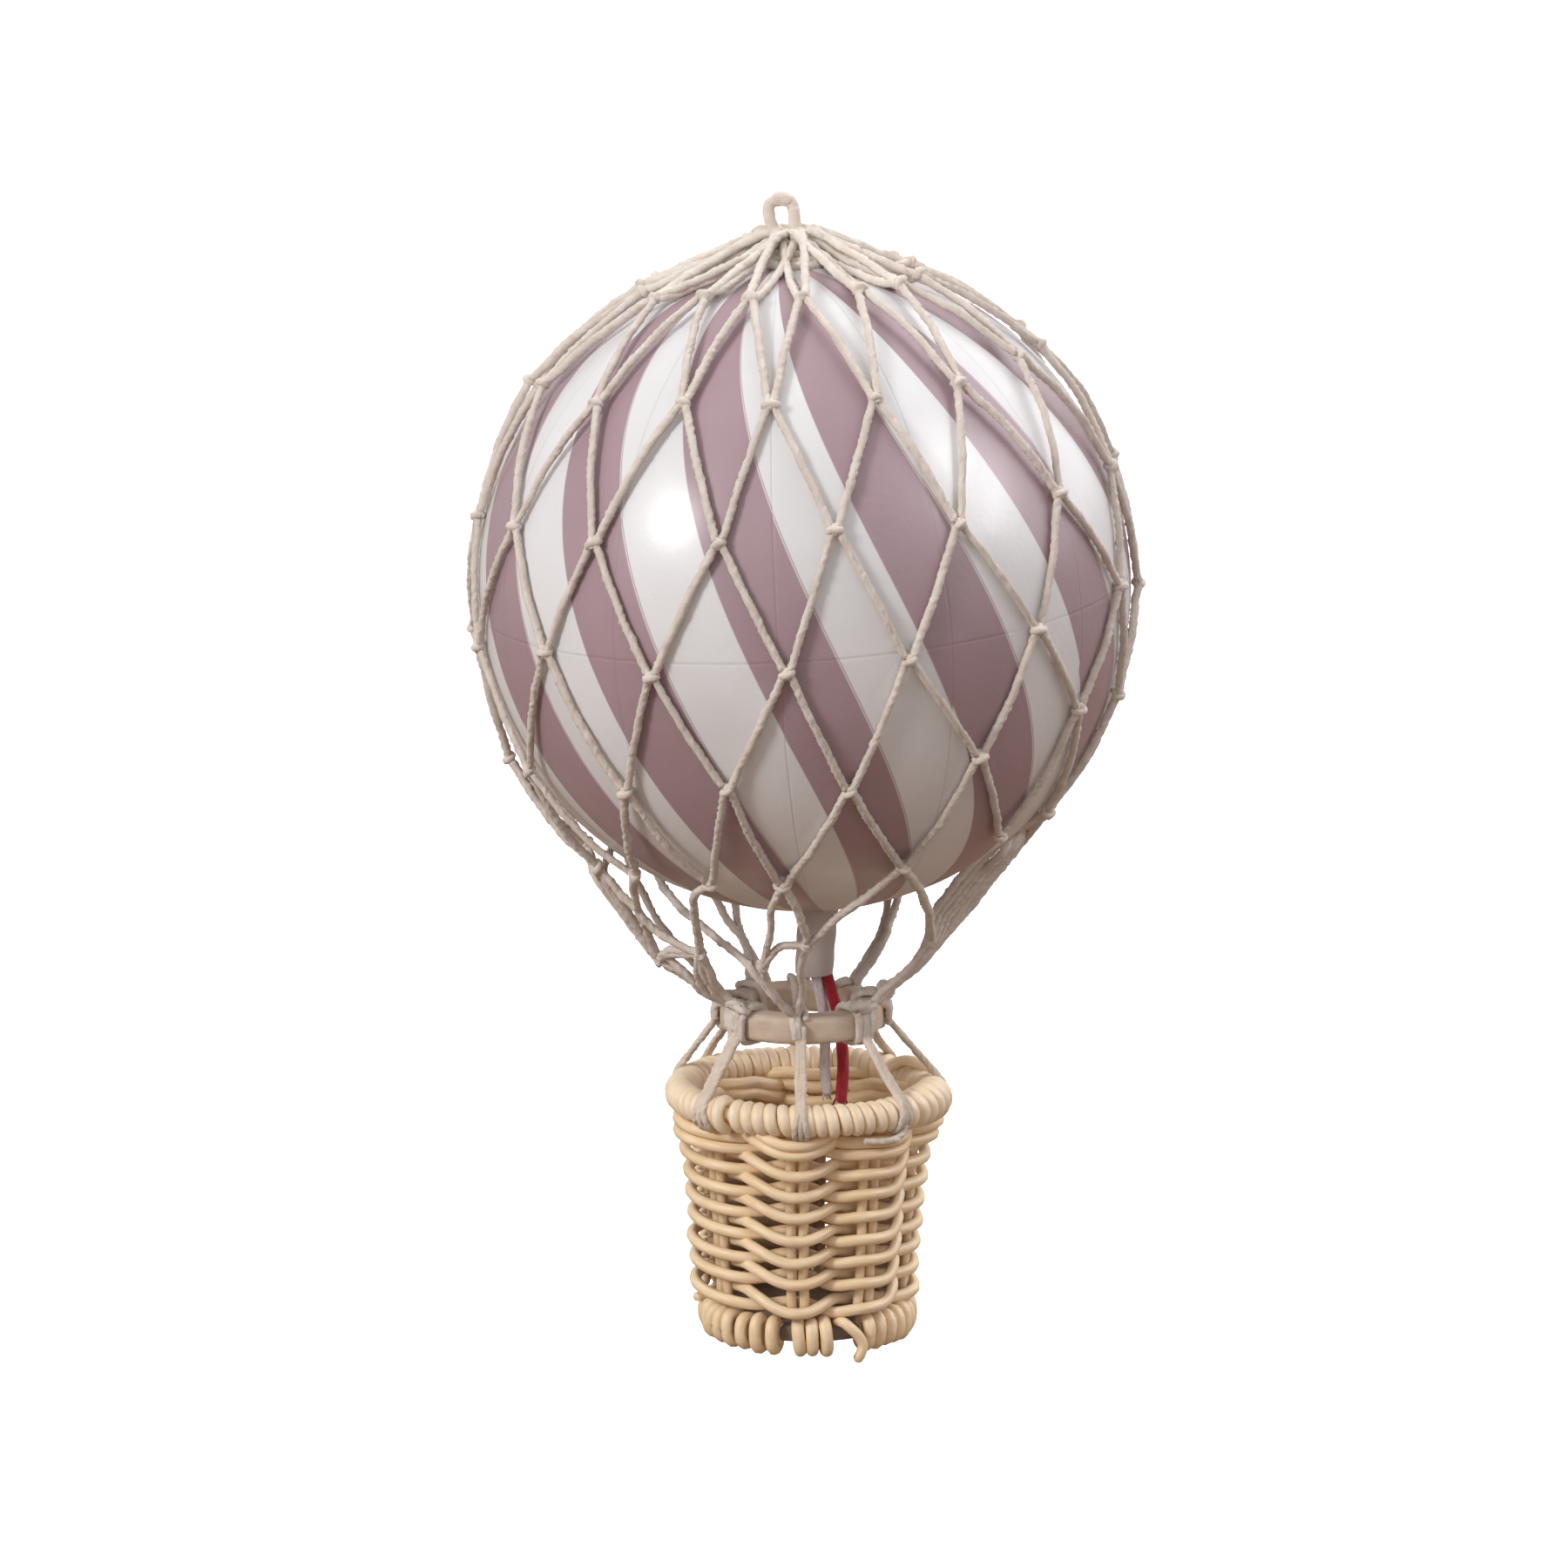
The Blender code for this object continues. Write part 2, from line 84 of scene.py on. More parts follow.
BALL, ball_half = middle_and_half("envelope")
BALL_RADIUS = ball_half[0]
RING, ring_half = middle_and_half("load_ring")
RING_OUTER, RING_HALF_HEIGHT = ring_half[0], ring_half[2]
RING_WALL = 4.3
RIM, rim_half = middle_and_half("basket_rim")
RIM_SECTION = rim_half[2]
RIM_RADIUS = rim_half[0] - RIM_SECTION
BOARD, board_half = middle_and_half("basket_base")
CROWN = middle_and_half("net_crown")[0]
TIE_AZIMUTHS = (-3, 46, 100, 143, 185, 228, 266, 312)   # where the eight bundles are tied to the ring
FACE_TIES = (-0.6, *TIE_AZIMUTHS[1:])                   # where they run down its face
print("ball radius %.1f, ring radius %.1f, rim radius %.1f mm" % (BALL_RADIUS, RING_OUTER, RIM_RADIUS))

# %% [markdown]
# ## The camera
#
# The picture was taken with a long lens from a little above. A long lens from more than a metre away
# keeps the ball round and the ring's two edges nearly parallel. The pitch was found from how open the
# wood ring and the basket's rim look.

# %% Camera
CAMERA_PLACE = (0.0033, -1.178, 0.1708)
CAMERA_PITCH = 12.459
CAMERA_YAW = 0.1425
LENS_MM, SENSOR_MM = 180.13, 36.0

lens = bpy.data.cameras.new("camera")
lens.lens, lens.sensor_width = LENS_MM, SENSOR_MM
lens.clip_start, lens.clip_end = 0.05, 60.0
camera = bpy.data.objects.new("camera", lens)
bpy.context.collection.objects.link(camera)
camera.location = CAMERA_PLACE
camera.rotation_euler = (math.radians(90 - CAMERA_PITCH), 0.0, math.radians(CAMERA_YAW))
bpy.context.scene.camera = camera
bpy.context.scene.view_settings.view_transform = "Standard"
print("camera", CAMERA_PLACE, "lens", LENS_MM, "mm")

# %% [markdown]
# ## Materials as sums
#
# A material in Blender is a graph of nodes. Drawing it in Python gets long, so one small class wraps a
# socket and lets plain arithmetic add the Math nodes: `1 - mask * 0.5` reads as what it is.
# Everything that isn't arithmetic comes from one method that takes the node's type, its settings and
# its inputs. Colours go through a Mix node, because a Math node would turn them grey.

# %% Sockets with arithmetic


class Wire:
    """The output of one node. Arithmetic on it adds Math nodes."""

    def __init__(self, nodes, socket):
        self.nodes, self.socket = nodes, socket

    def maths(self, operation, *others, first=None):
        values = (self, *others) if first is None else (first, self)
        return self.nodes.node("ShaderNodeMath", {"operation": operation}, dict(enumerate(values)))

    def __add__(self, other):
        return self.maths("ADD", other)

    def __sub__(self, other):
        return self.maths("SUBTRACT", other)

    def __rsub__(self, other):
        return self.maths("SUBTRACT", first=other)

    def __mul__(self, other):
        return self.maths("MULTIPLY", other)

    def __truediv__(self, other):
        return self.maths("DIVIDE", other)

    def __rtruediv__(self, other):
        return self.maths("DIVIDE", first=other)

    def __neg__(self):
        return self * -1.0

    def above(self, edge, softness):
        """0 below an edge and 1 above it, with a soft step."""
        return self.nodes.node("ShaderNodeMapRange", {"interpolation_type": "SMOOTHSTEP"},
                               {"Value": self, "From Min": edge - softness, "From Max": edge + softness})

    __radd__ = __add__
    __rmul__ = __mul__


print("a wire adds, subtracts, multiplies and divides")

# %% Nodes and finishes


class Nodes:
    """A tree of nodes. One method adds any node: its type, its settings and what goes into its sockets."""

    def __init__(self, tree):
        self.tree = tree

    def node(self, kind, settings=None, inputs=None, output=0):
        made = self.tree.nodes.new(kind)
        for setting, value in (settings or {}).items():
            setattr(made, setting, value)
        for socket, value in (inputs or {}).items():
            self.join(made.inputs[socket], value)
        return Wire(self, made.outputs[output])

    def join(self, socket, value):
        if isinstance(value, Wire):
            self.tree.links.new(value.socket, socket)
        else:
            socket.default_value = value

    def blend(self, share, first, second):
        """A colour between two others."""
        first, second = ((*c, 1.0) if isinstance(c, tuple) else c for c in (first, second))
        return self.node("ShaderNodeMix", {"data_type": "RGBA"}, {0: share, 6: first, 7: second}, 2)

    def vector(self, operation, first, second=(0, 0, 0), output="Vector"):
        return self.node("ShaderNodeVectorMath", {"operation": operation}, {0: first, 1: second}, output)

    def noise(self, place, scale, detail=2.0, stretch=None):
        """Cloudy values from 0 to 1, with blobs about 1 / scale across."""
        place = self.vector("MULTIPLY", place, stretch) if stretch else place
        return self.node("ShaderNodeTexNoise", None, {"Vector": place, "Scale": scale, "Detail": detail})

    def place(self, output="Object"):
        return self.node("ShaderNodeTexCoord", output=output)

    def split(self, vector, axis):
        return self.node("ShaderNodeSeparateXYZ", None, {0: vector}, axis)


class Finish(Nodes):
    """A material built around one Principled shader. Constant values are set on the shader's own sockets."""

    def __init__(self, name, **constants):
        self.material = bpy.data.materials.new(name)
        self.material.use_nodes = True
        super().__init__(self.material.node_tree)
        self.shader = self.tree.nodes["Principled BSDF"]
        self.wear(**constants)

    def wear(self, **values):
        """Sets a socket of the shader, or joins what changes over the surface to it."""
        for socket, value in values.items():
            self.join(self.shader.inputs[socket.replace("_", " ")], value)

    def bump(self, height, distance, strength):
        self.wear(Normal=self.node("ShaderNodeBump", None, {"Height": height, "Distance": distance * MM,
                                                            "Strength": strength}))

    def mottle(self, cloud, softness, low, high, distance, strength):
        """Colour and bump that follow the same cloud."""
        self.wear(Base_Color=self.blend(cloud.above(0.5, softness), low, high))
        self.bump(cloud, distance, strength)
        return self

    def along(self):
        """Length along a strand in millimetres, and the turn about it from 0 to 1."""
        return self.node("ShaderNodeUVMap", {"uv_map": "strand"})


print("any finish is one Principled shader with nodes in front of it")

# %% [markdown]
# ## Strands
#
# Cord, cane and ribbon are all the same thing to a computer: a tube along a line. A curve with a bevel
# would give a smooth round tube. Here the tube is made in code, so that a cord can have three plies
# that twist round each other, a flattened cane can keep its flat side to the hoop that it wraps,
# and each end can be round. One skein gathers many strands into one mesh, and it keeps a map
# of the length along each strand for the fibres in its finish.

# %% Lines


def polar(radius, azimuth, height, centre_x=0.0):
    """A point at an azimuth in degrees about a vertical axis."""
    angle = np.radians(azimuth)
    return np.array((centre_x + radius * np.sin(angle), -radius * np.cos(angle), height))


def about_ball(azimuth, radius, height):
    return polar(radius, azimuth, height, BALL[0])


def smooth_line(knots, parts=8):
    """A smooth curve through the knots."""
    knots = np.asarray(knots, float)
    padded = np.vstack((knots[:1], knots, knots[-1:]))
    pieces = []
    for before, start, end, after in zip(padded, padded[1:], padded[2:], padded[3:]):
        t = np.linspace(0, 1, parts, endpoint=False)[:, None]
        pieces.append(0.5 * (2 * start + (end - before) * t + (2 * before - 5 * start + 4 * end - after) * t ** 2
                             + (3 * start - before - 3 * end + after) * t ** 3))
    return np.vstack((*pieces, knots[-1:]))


def lengths(line):
    """Length along a line to each of its points."""
    return np.concatenate(((0.0,), np.cumsum(np.linalg.norm(np.diff(line, axis=0), axis=1))))


def unit(vectors):
    return vectors / np.maximum(np.linalg.norm(vectors, axis=-1, keepdims=True), 1e-9)


def sampled(line, places, values=None):
    """The line itself, or values given along it, at lengths along the line."""
    along = lengths(line)
    values = line if values is None else np.asarray(values, float)
    return np.stack([np.interp(places, along, values[:, axis]) for axis in range(3)], 1)


def carried(ahead):
    """Directions across a line that turn with it and don't twist about it."""
    across = np.empty_like(ahead)
    spare = np.eye(3)[np.argmin(np.abs(ahead[0]))]
    across[0] = unit(spare - ahead[0] * spare.dot(ahead[0]))
    for index in range(1, len(ahead)):
        across[index] = unit(across[index - 1] - ahead[index] * across[index - 1].dot(ahead[index]))
    return across


print("a smooth line through 3 knots has", len(smooth_line(np.eye(3))), "points")

# %% Meshes


def quads(rows, sides, closed):
    """Faces between rings of points that follow each other."""
    row = np.arange(rows if closed else rows - 1)[:, None] * sides
    below, side = (row + sides) % (rows * sides), np.arange(sides)
    after = (side + 1) % sides
    return np.stack((row + side, row + after, below + after, below + side), 2).reshape(-1, 4)


def smooth_mesh(name, points, faces):
    """A smooth mesh from points in millimetres."""
    mesh = bpy.data.meshes.new(name)
    mesh.from_pydata((points * MM).tolist(), [], faces)
    mesh.shade_smooth()
    return mesh


print("two rings of 8 points make", len(quads(2, 8, False)), "faces")

# %% [markdown]
# ### The skein
#
# A cord's section is a circle with a furrow between each two plies, and it turns as it goes along, so the
# furrows wind. Real cord is never even: the section is roughened by a small random amount at each point,
# and the strand wanders a little from side to side. The draws are seeded, so each run gives the same cord.

# %% The skein


class Skein:
    """Strands that become one mesh. Plies is the number of lobes that twist about a cord."""

    def __init__(self, seed, sides=9, plies=0, lay_mm=4.2, groove=0.14, step=0.5, rough=0.0):
        self.chance = np.random.default_rng(seed)
        self.sides, self.plies, self.lay_mm, self.groove, self.step = sides, plies, lay_mm, groove, step
        self.rough = rough
        self.points, self.faces, self.maps, self.count = [], [], [], 0

    def bent(self, knots, radius, parts=8, **more):
        """A strand on a smooth line through a few places."""
        self.strand(smooth_line(knots, parts), radius, **more)

    def strand(self, line, radius, wander=0.0, flat=1.0, out=None, closed=False):
        """A tube along a line. Radius may be one for each point. Flat squeezes the tube in the ways given by out."""
        line = np.asarray(line, float)
        total = lengths(line)[-1]
        radii, radius = np.broadcast_to(radius, len(line)), float(np.mean(radius))
        places = np.linspace(0, total, max(4, int(round(total / self.step))) + 1)
        if closed:
            places = places[:-1]
        else:
            soft_end = radius * np.array((0.06, 0.3, 0.7))
            places = np.unique(np.concatenate((places, soft_end, total - soft_end)))
        middle = sampled(line, places)
        ahead = unit(np.roll(middle, -1, 0) - np.roll(middle, 1, 0) if closed else np.gradient(middle, axis=0))
        if out is None:
            across = carried(ahead)
        else:
            outward = unit(sampled(line, places, out))
            across = unit(outward - ahead * (outward * ahead).sum(1, keepdims=True))
        beside = np.cross(ahead, across)
        if wander:
            for way in (across, beside):
                phase, wave = self.chance.uniform(0, 2 * math.pi), self.chance.uniform(7, 12)
                hold = np.sin(np.pi * places / total) ** 0.5
                middle = middle + way * (wander * hold * np.sin(2 * math.pi * places / wave + phase))[:, None]
        size = np.interp(places, lengths(line), radii)
        if not closed:
            for near in (places, total - places):
                inside = np.clip(near / radius, 0.0, 1.0)
                size = size * np.sqrt(np.maximum(1 - (1 - inside) ** 2, 0.01))
        self.sections(middle, across, beside, size, places + self.chance.uniform(0, 300), flat, closed)

    def sections(self, middle, across, beside, size, along, flat, closed):
        """The ring of points at each place along a strand."""
        turn = np.arange(self.sides) / self.sides * 2 * math.pi
        twist = along / self.lay_mm * 2 * math.pi if self.plies else np.zeros(len(along))
        angle = turn[None] + twist[:, None]
        ridge = 1 - self.groove * (1 - np.abs(np.cos(turn * self.plies / 2))) if self.plies else np.ones(self.sides)
        fuzz = self.chance.normal(0, self.rough, (len(along), self.sides))
        thick = size[:, None] * ridge[None] * (1 + (fuzz + np.roll(fuzz, 1, 0) + np.roll(fuzz, 1, 1)) / 1.7)
        rings = (middle[:, None] + across[:, None] * (thick * flat * np.cos(angle))[..., None]
                 + beside[:, None] * (thick * np.sin(angle))[..., None])
        self.sew(rings, along, twist, closed)

    def sew(self, rings, along, twist, closed):
        """Joins the rings, and maps each face's corners by length and turn."""
        rows, sides = rings.shape[:2]
        ring, side = np.arange(rows if closed else rows - 1), np.arange(sides)
        self.points.append(rings.reshape(-1, 3))
        self.faces += (quads(rows, sides, closed) + self.count).tolist()
        far = np.append(along, 2 * along[-1] - along[-2])
        turned = np.append(twist, 2 * twist[-1] - twist[-2]) / (2 * math.pi)
        corners = [np.stack((np.repeat(far[ring + row], sides),
                             np.repeat(turned[ring + row], sides) + np.tile(side + step, len(ring)) / sides), 1)
                   for row, step in ((0, 0), (0, 1), (1, 1), (1, 0))]
        self.maps.append(np.stack(corners, 1).reshape(-1, 2))
        if not closed:
            for row, order in ((0, -1), (rows - 1, 1)):
                self.faces.append((self.count + row * sides + side[::order]).tolist())
                self.maps.append(np.tile((along[row], 0.0), (sides, 1)))
        self.count += rows * sides

    def make(self, name, finish, body=None, nodes=()):
        mesh = smooth_mesh(name, np.vstack(self.points), self.faces)
        strand_map = mesh.uv_layers.new(name="strand")
        strand_map.data.foreach_set("uv", np.vstack(self.maps).astype(np.float32).ravel())
        return placed(bpy.data.objects.new(name, mesh), finish, body, nodes)


print("a strand of three plies turns once in", Skein(0).lay_mm, "mm")

# %% Putting a piece in the scene
triangles = {}


def placed(piece, finish, body=None, nodes=()):
    """Links a piece, gives it its finish, and sets it on its body in place of CAD nodes."""
    bpy.context.collection.objects.link(piece)
    piece.data.materials.clear()
    piece.data.materials.append(finish.material)
    if body:
        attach(piece, body)
    if nodes:
        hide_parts(*nodes)
    if piece.type == "MESH":
        triangles[piece.name] = sum(len(face.vertices) - 2 for face in piece.data.polygons)
    return piece


def turned(name, profile, steps, finish, slot, body=None, nodes=(), centre=(0.0, 0.0), closed=True):
    """A profile of (radius, height) points in millimetres, turned about a vertical axis."""
    profile = np.asarray(profile, float)
    around = np.arange(steps) / steps * 2 * math.pi
    ring = np.stack((np.sin(around), -np.cos(around)), 1)
    flat = profile[:, None, :1] * ring[None] + np.asarray(centre)[None, None]
    tall = np.repeat(profile[:, None, 1:], steps, 1)
    points = np.concatenate((flat, tall), 2).reshape(-1, 3)
    faces = quads(len(profile), steps, closed)[:, (0, 3, 2, 1)]
    mesh = smooth_mesh(name, points, faces.tolist())
    return placed(bpy.data.objects.new(name, mesh), finish, body, nodes)


print("strands and turned pieces are ready")

# %% [markdown]
# ## The studio
#
# The picture was lit by one large softbox from the upper left, close to the camera's height, which leaves a
# round highlight on the paper, and by a broad pale surface on the right. Little light comes from below,
# so the ball's underside goes brown. Two of the lights show in the gloss alone: one makes the round
# highlight and one the broad sheen, so their size can be set without changing the shadows.

# %% Lights
AIM = Vector((BALL[0], 0.0, BALL[2])) * MM
KEY_DIRECTION = (-50.8, 27.6)
WHITE, COOL, SKY_BLUE = (1.0, 1.0, 1.0), (0.98, 0.98, 1.0), (0.96, 0.96, 1.0)
LIGHTS = (      # name, azimuth and elevation, distance, width, height, power, colour, shape, what it is hidden from
    ("key", KEY_DIRECTION, 1.6, 0.46, 0.46, 13.5, WHITE, "ELLIPSE", "visible_glossy"),
    ("key_glint", KEY_DIRECTION, 1.6, 0.33, 0.33, 10.5, COOL, "ELLIPSE", "visible_diffuse"),
    ("window_sheen", (72.0, 34.0), 1.8, 1.1, 1.1, 18.0, COOL, "ELLIPSE", "visible_diffuse"),
    ("fill", (112.0, 32.0), 1.8, 2.2, 1.8, 18.0, SKY_BLUE, "RECTANGLE", None),
    ("top", (150.0, 60.0), 1.6, 0.8, 0.8, 9.0, WHITE, "RECTANGLE", "visible_glossy"),
)


def softbox(name, direction, distance, width, height, power, colour, shape, hidden_from):
    light = bpy.data.lights.new(name, "AREA")
    light.shape, light.size, light.size_y = shape, width, height
    light.energy, light.color = power, colour
    stand = bpy.data.objects.new(name, light)
    bpy.context.collection.objects.link(stand)
    azimuth, elevation = direction
    away = Vector(polar(math.cos(math.radians(elevation)), azimuth, math.sin(math.radians(elevation))))
    stand.location = AIM + away * distance
    stand.rotation_euler = away.to_track_quat("Z", "Y").to_euler()
    if hidden_from:
        setattr(stand, hidden_from, False)


for light in LIGHTS:
    softbox(*light)
print(len(LIGHTS), "softboxes")

# %% [markdown]
# ### Sky and floor
#
# The sky is pale above and brown below, with a soft step between, which a blend by height gives. The floor is
# pale and far below the toy. It is kept out of the bounced light, because a real one of that size would
# fill in the dark underside of the ball.

# %% Sky and floor
SKY_ABOVE, SKY_BELOW = (0.64, 0.63, 0.64), (0.25, 0.16, 0.108)
HORIZON, HORIZON_SOFTNESS = -0.05, 0.4
sky = bpy.data.worlds.new("studio")
bpy.context.scene.world = sky
sky.use_nodes = True
sky_nodes = Nodes(sky.node_tree)
sky_height = sky_nodes.split(sky_nodes.place("Generated"), 2)
sky_nodes.join(sky.node_tree.nodes["Background"].inputs["Color"],
               sky_nodes.blend(sky_height.above(HORIZON, HORIZON_SOFTNESS), SKY_BELOW, SKY_ABOVE))

FLOOR_Z, FLOOR_REACH = -550.0, 14000.0
corners = np.array([(x * FLOOR_REACH, y * FLOOR_REACH, FLOOR_Z) for x, y in ((-1, -1), (1, -1), (1, 1), (-1, 1))])
floor = bpy.data.objects.new("floor", smooth_mesh("floor", corners, [(0, 1, 2, 3)]))
bpy.context.collection.objects.link(floor)
floor.data.materials.append(Finish("pale_floor", Base_Color=(0.9, 0.9, 0.9, 1.0), Roughness=0.9,
                                   Emission_Color=(1.0, 1.0, 1.0, 1.0), Emission_Strength=0.95).material)
floor.visible_diffuse = floor.visible_glossy = False
print("a pale floor", -FLOOR_Z, "mm below the hook")

# %% [markdown]
# ## Cotton
#
# The net, the lashings and the stays are soft three ply cotton cord, unbleached, a little pink in the shade.
# Cotton has no gloss, but its fuzz catches light at the edges: that is what Sheen is for. The fibres run
# round the cord with its twist, so a fine wave along the strand's own map gives them their bump.

# %% Cotton finish


def cotton_finish(name, pale, dull):
    cotton = Finish(name, Roughness=0.95, Sheen_Weight=0.35, Sheen_Roughness=0.5, Specular_IOR_Level=0.25)
    strand = cotton.along()
    cloud = cotton.noise(cotton.place(), 420.0, 3.0)
    fibre = cotton.noise(strand, 4.0, 4.0, (0.5, 9.0, 1.0))
    cotton.wear(Base_Color=cotton.blend((cloud * 0.7 + fibre * 0.7 - 0.2).above(0.5, 0.3), dull, pale))
    cotton.bump(fibre * 0.8 + cloud * 0.6, 0.3, 0.9)
    return cotton


cotton = cotton_finish("cotton_cord", (0.94, 0.86, 0.78), (0.75, 0.635, 0.535))
print("cotton is ready")

# %% [markdown]
# ## The paper ball
#
# The ball is papier-mache, pasted with twelve printed gores. Each gore carries one mauve and one white
# stripe that lean from the upper left to the lower right, so 24 equal stripes go round. A picture of the
# stripes isn't needed: the stripe that a point lies in comes from its azimuth, moved on by its latitude.
# The piece's own axes are turned to the printed pole, so the sums stay short.
# The gores' edges and the seam round the middle are fine ridges, and the paper is gently uneven.

# %% Shape of the ball
POLE_TIP_X, POLE_TIP_Y = -2.18, 3.63
STRIPES = 24
GORES = 12
FIRST_EDGE, FIRST_SEAM = -54.1, -34.0                   # azimuths of a stripe's edge and of a gore's
HILLS = ((0.07, 3.0), (0.035, 9.0), (0.012, 24.0))      # height in millimetres, and waves round the ball
SEAM_HEIGHT, SEAM_WIDTH = 0.05, 1.1
WAIST_HEIGHT, WAIST_WIDTH = 0.04, 0.014


def uneven(directions, seed, sizes):
    """Soft random hills over directions, each size as (height, waves)."""
    chance = np.random.default_rng(seed)
    total = np.zeros(len(directions))
    for height, waves in sizes:
        for part in range(6):
            way = unit(chance.normal(size=3))
            total += height / 3 * np.sin(directions @ way * waves + chance.uniform(0, 2 * math.pi))
    return total


def make_ball(finish):
    segments, rings = 192, 96
    ways = [polar(math.cos(lat), az, math.sin(lat)) for lat in np.radians(np.linspace(90, -90, rings + 1)[1:-1])
            for az in np.arange(segments) * 360 / segments]
    top = len(ways)
    ways = np.vstack((*ways, (0, 0, 1), (0, 0, -1)))
    seam = (np.degrees(np.arctan2(ways[:, 0], -ways[:, 1])) - FIRST_SEAM) / (360 / GORES)
    off_seam = np.abs(seam - np.round(seam)) * (360 / GORES) * np.sqrt(1 - ways[:, 2] ** 2)
    radius = BALL_RADIUS + uneven(ways, 5, HILLS)
    radius += SEAM_HEIGHT * np.exp(-(off_seam / SEAM_WIDTH) ** 2)
    radius += WAIST_HEIGHT * np.exp(-(ways[:, 2] / WAIST_WIDTH) ** 2)
    faces = quads(rings - 1, segments, False)[:, (0, 3, 2, 1)].tolist()
    foot = top - segments
    for side in range(segments):
        after = (side + 1) % segments
        faces += [(side, after, top), (foot + after, foot + side, top + 1)]
    ball = bpy.data.objects.new("paper_ball", smooth_mesh("paper_ball", ways * radius[:, None], faces))
    tip = Matrix.Rotation(math.radians(POLE_TIP_Y), 4, "Y") @ Matrix.Rotation(math.radians(POLE_TIP_X), 4, "X")
    ball.matrix_world = Matrix.Translation(Vector(BALL) * MM) @ tip.inverted()
    return placed(ball, finish, "balloon", ("envelope",))


print("the ball's printed pole leans", POLE_TIP_X, "and", POLE_TIP_Y, "degrees")

# %% [markdown]
# ### Printed paper
#
# The print is a flat dusty mauve on white, under a thin varnish that gives the ball its soft gloss.
# Varnish is a coat over a rougher sheet, so the shader gets both. The paper's own grain is a fine bump.
# Along the seams the stripes don't quite meet, as each gore was pasted by hand, so each gore's stripes
# are shifted by a small amount of its own.

# %% Printed paper finish
MAUVE, UNPRINTED = ((0.405, 0.281, 0.311), (0.370, 0.253, 0.281)), ((0.80, 0.795, 0.80), (0.745, 0.735, 0.735))
SEAM_SHADE = (0.25, 0.17, 0.16)
LEAN = (0.393, -0.009, -0.040)      # how far a stripe has turned, by its latitude, the square and the cube of it
SPREAD, GORE_SHIFT = math.radians(-1.4), math.radians(0.35)
EDGE_SOFTNESS = 0.012


def printed_paper():
    paper = Finish("printed_paper", Coat_Weight=0.9, Coat_Roughness=0.26, Specular_IOR_Level=0.4)
    place = paper.place()
    x, y, z = (paper.split(place, axis) for axis in range(3))
    latitude = (z / paper.vector("LENGTH", place, output="Value")).maths("ARCSINE")
    azimuth = x.maths("ARCTAN2", -y)
    seam = (azimuth - math.radians(FIRST_SEAM)) / math.radians(360 / GORES)
    shift = (seam.maths("FLOOR") * 2.7).maths("SINE") * GORE_SHIFT
    square = latitude * latitude
    lean = latitude * LEAN[0] + square * LEAN[1] + square * latitude * LEAN[2]
    spread = azimuth.maths("SINE") * SPREAD
    edge = (azimuth + lean + spread + shift - math.radians(FIRST_EDGE)) / math.radians(360 / STRIPES)
    pair = edge.maths("FLOORED_MODULO", 2.0)
    soft = EDGE_SOFTNESS
    white = (1 - pair.above(1.0, soft)) * pair.above(soft, soft) + pair.above(2.0 - soft, soft)
    cloud, grain = paper.noise(place, 60.0, 4.0), paper.noise(place, 900.0, 3.0)
    mauve, blank = (paper.blend(cloud.above(0.5, 0.3), *tones) for tones in (MAUVE, UNPRINTED))
    crease = ((1 - seam.maths("PINGPONG", 0.5).above(0.006, 0.006)) * 0.7
              + (1 - (z / MM).maths("ABSOLUTE").above(0.2, 0.2)) * 0.5)
    paper.wear(Base_Color=paper.blend(crease * 0.2, paper.blend(white, mauve, blank), SEAM_SHADE),
               Roughness=grain * 0.16 + 0.42)
    paper.bump(grain * 0.7 + cloud * 1.5 - crease * 0.8, 0.14, 0.7)
    return paper


make_ball(printed_paper())
print("the ball has", triangles["paper_ball"], "triangles and", STRIPES, "stripes")

# %% [markdown]
# ### The paper neck
#
# Under the ball hangs a short paper tube, tapered and open at its mouth, where the two ribbons come out.
# It is a thin sheet with a rolled edge, so its profile goes down the outside, round the lip and up
# the inside.

# %% Neck
neck_paper = Finish("plain_paper", Roughness=0.7)
neck_paper.mottle(neck_paper.noise(neck_paper.place(), 160.0, 3.0), 0.3, (0.60, 0.535, 0.50), (0.53, 0.46, 0.43),
                  0.3, 0.5)


def make_neck():
    top_z, mouth_z = -108.4, box_mm("envelope_neck")[0][2] + 0.15
    top_x, mouth_x = 5.7, 5.0
    top_radius, mouth_radius, wall = 3.1, 2.95, 0.4
    profile = [(top_radius + (mouth_radius - top_radius) * share + 0.06 * math.sin(share * 17),
                top_z + (mouth_z - top_z) * share) for share in np.linspace(0, 1, 13)]
    lip = [(mouth_radius - wall / 2 + wall / 2 * math.cos(a), mouth_z - wall / 2 * math.sin(a) + 0.02)
           for a in np.radians((45, 90, 135))]
    inner = [(radius - wall, height) for radius, height in reversed(profile)]
    neck = turned("paper_neck", profile + lip + inner, 48, neck_paper, "paper", None, ("envelope_neck",))
    for vertex in neck.data.vertices:
        share = (vertex.co.z / MM - top_z) / (mouth_z - top_z)
        angle = math.atan2(vertex.co.x, -vertex.co.y)
        fold = 1 + 0.025 * math.sin(3 * angle + 2 * share) * share
        vertex.co.x = vertex.co.x * fold + (top_x + (mouth_x - top_x) * share) * MM
        vertex.co.y *= fold
    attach(neck, "balloon")


make_neck()
print("the neck has", triangles["paper_neck"], "triangles")

# %% [markdown]
# ## The net
#
# The net is knotted by hand, like a fishing net: sixteen diamonds round the ball, with six rows of knots.
# Each knot joins two cords from above and two go on below. A texture could fake it, but the cords
# stand well off the paper and throw their shadows on it, so they are real strands.
# A rule places the knots. Those at the front then get the small slips that the maker's hands gave them,
# and the others get slips of the same size from a seeded random draw.

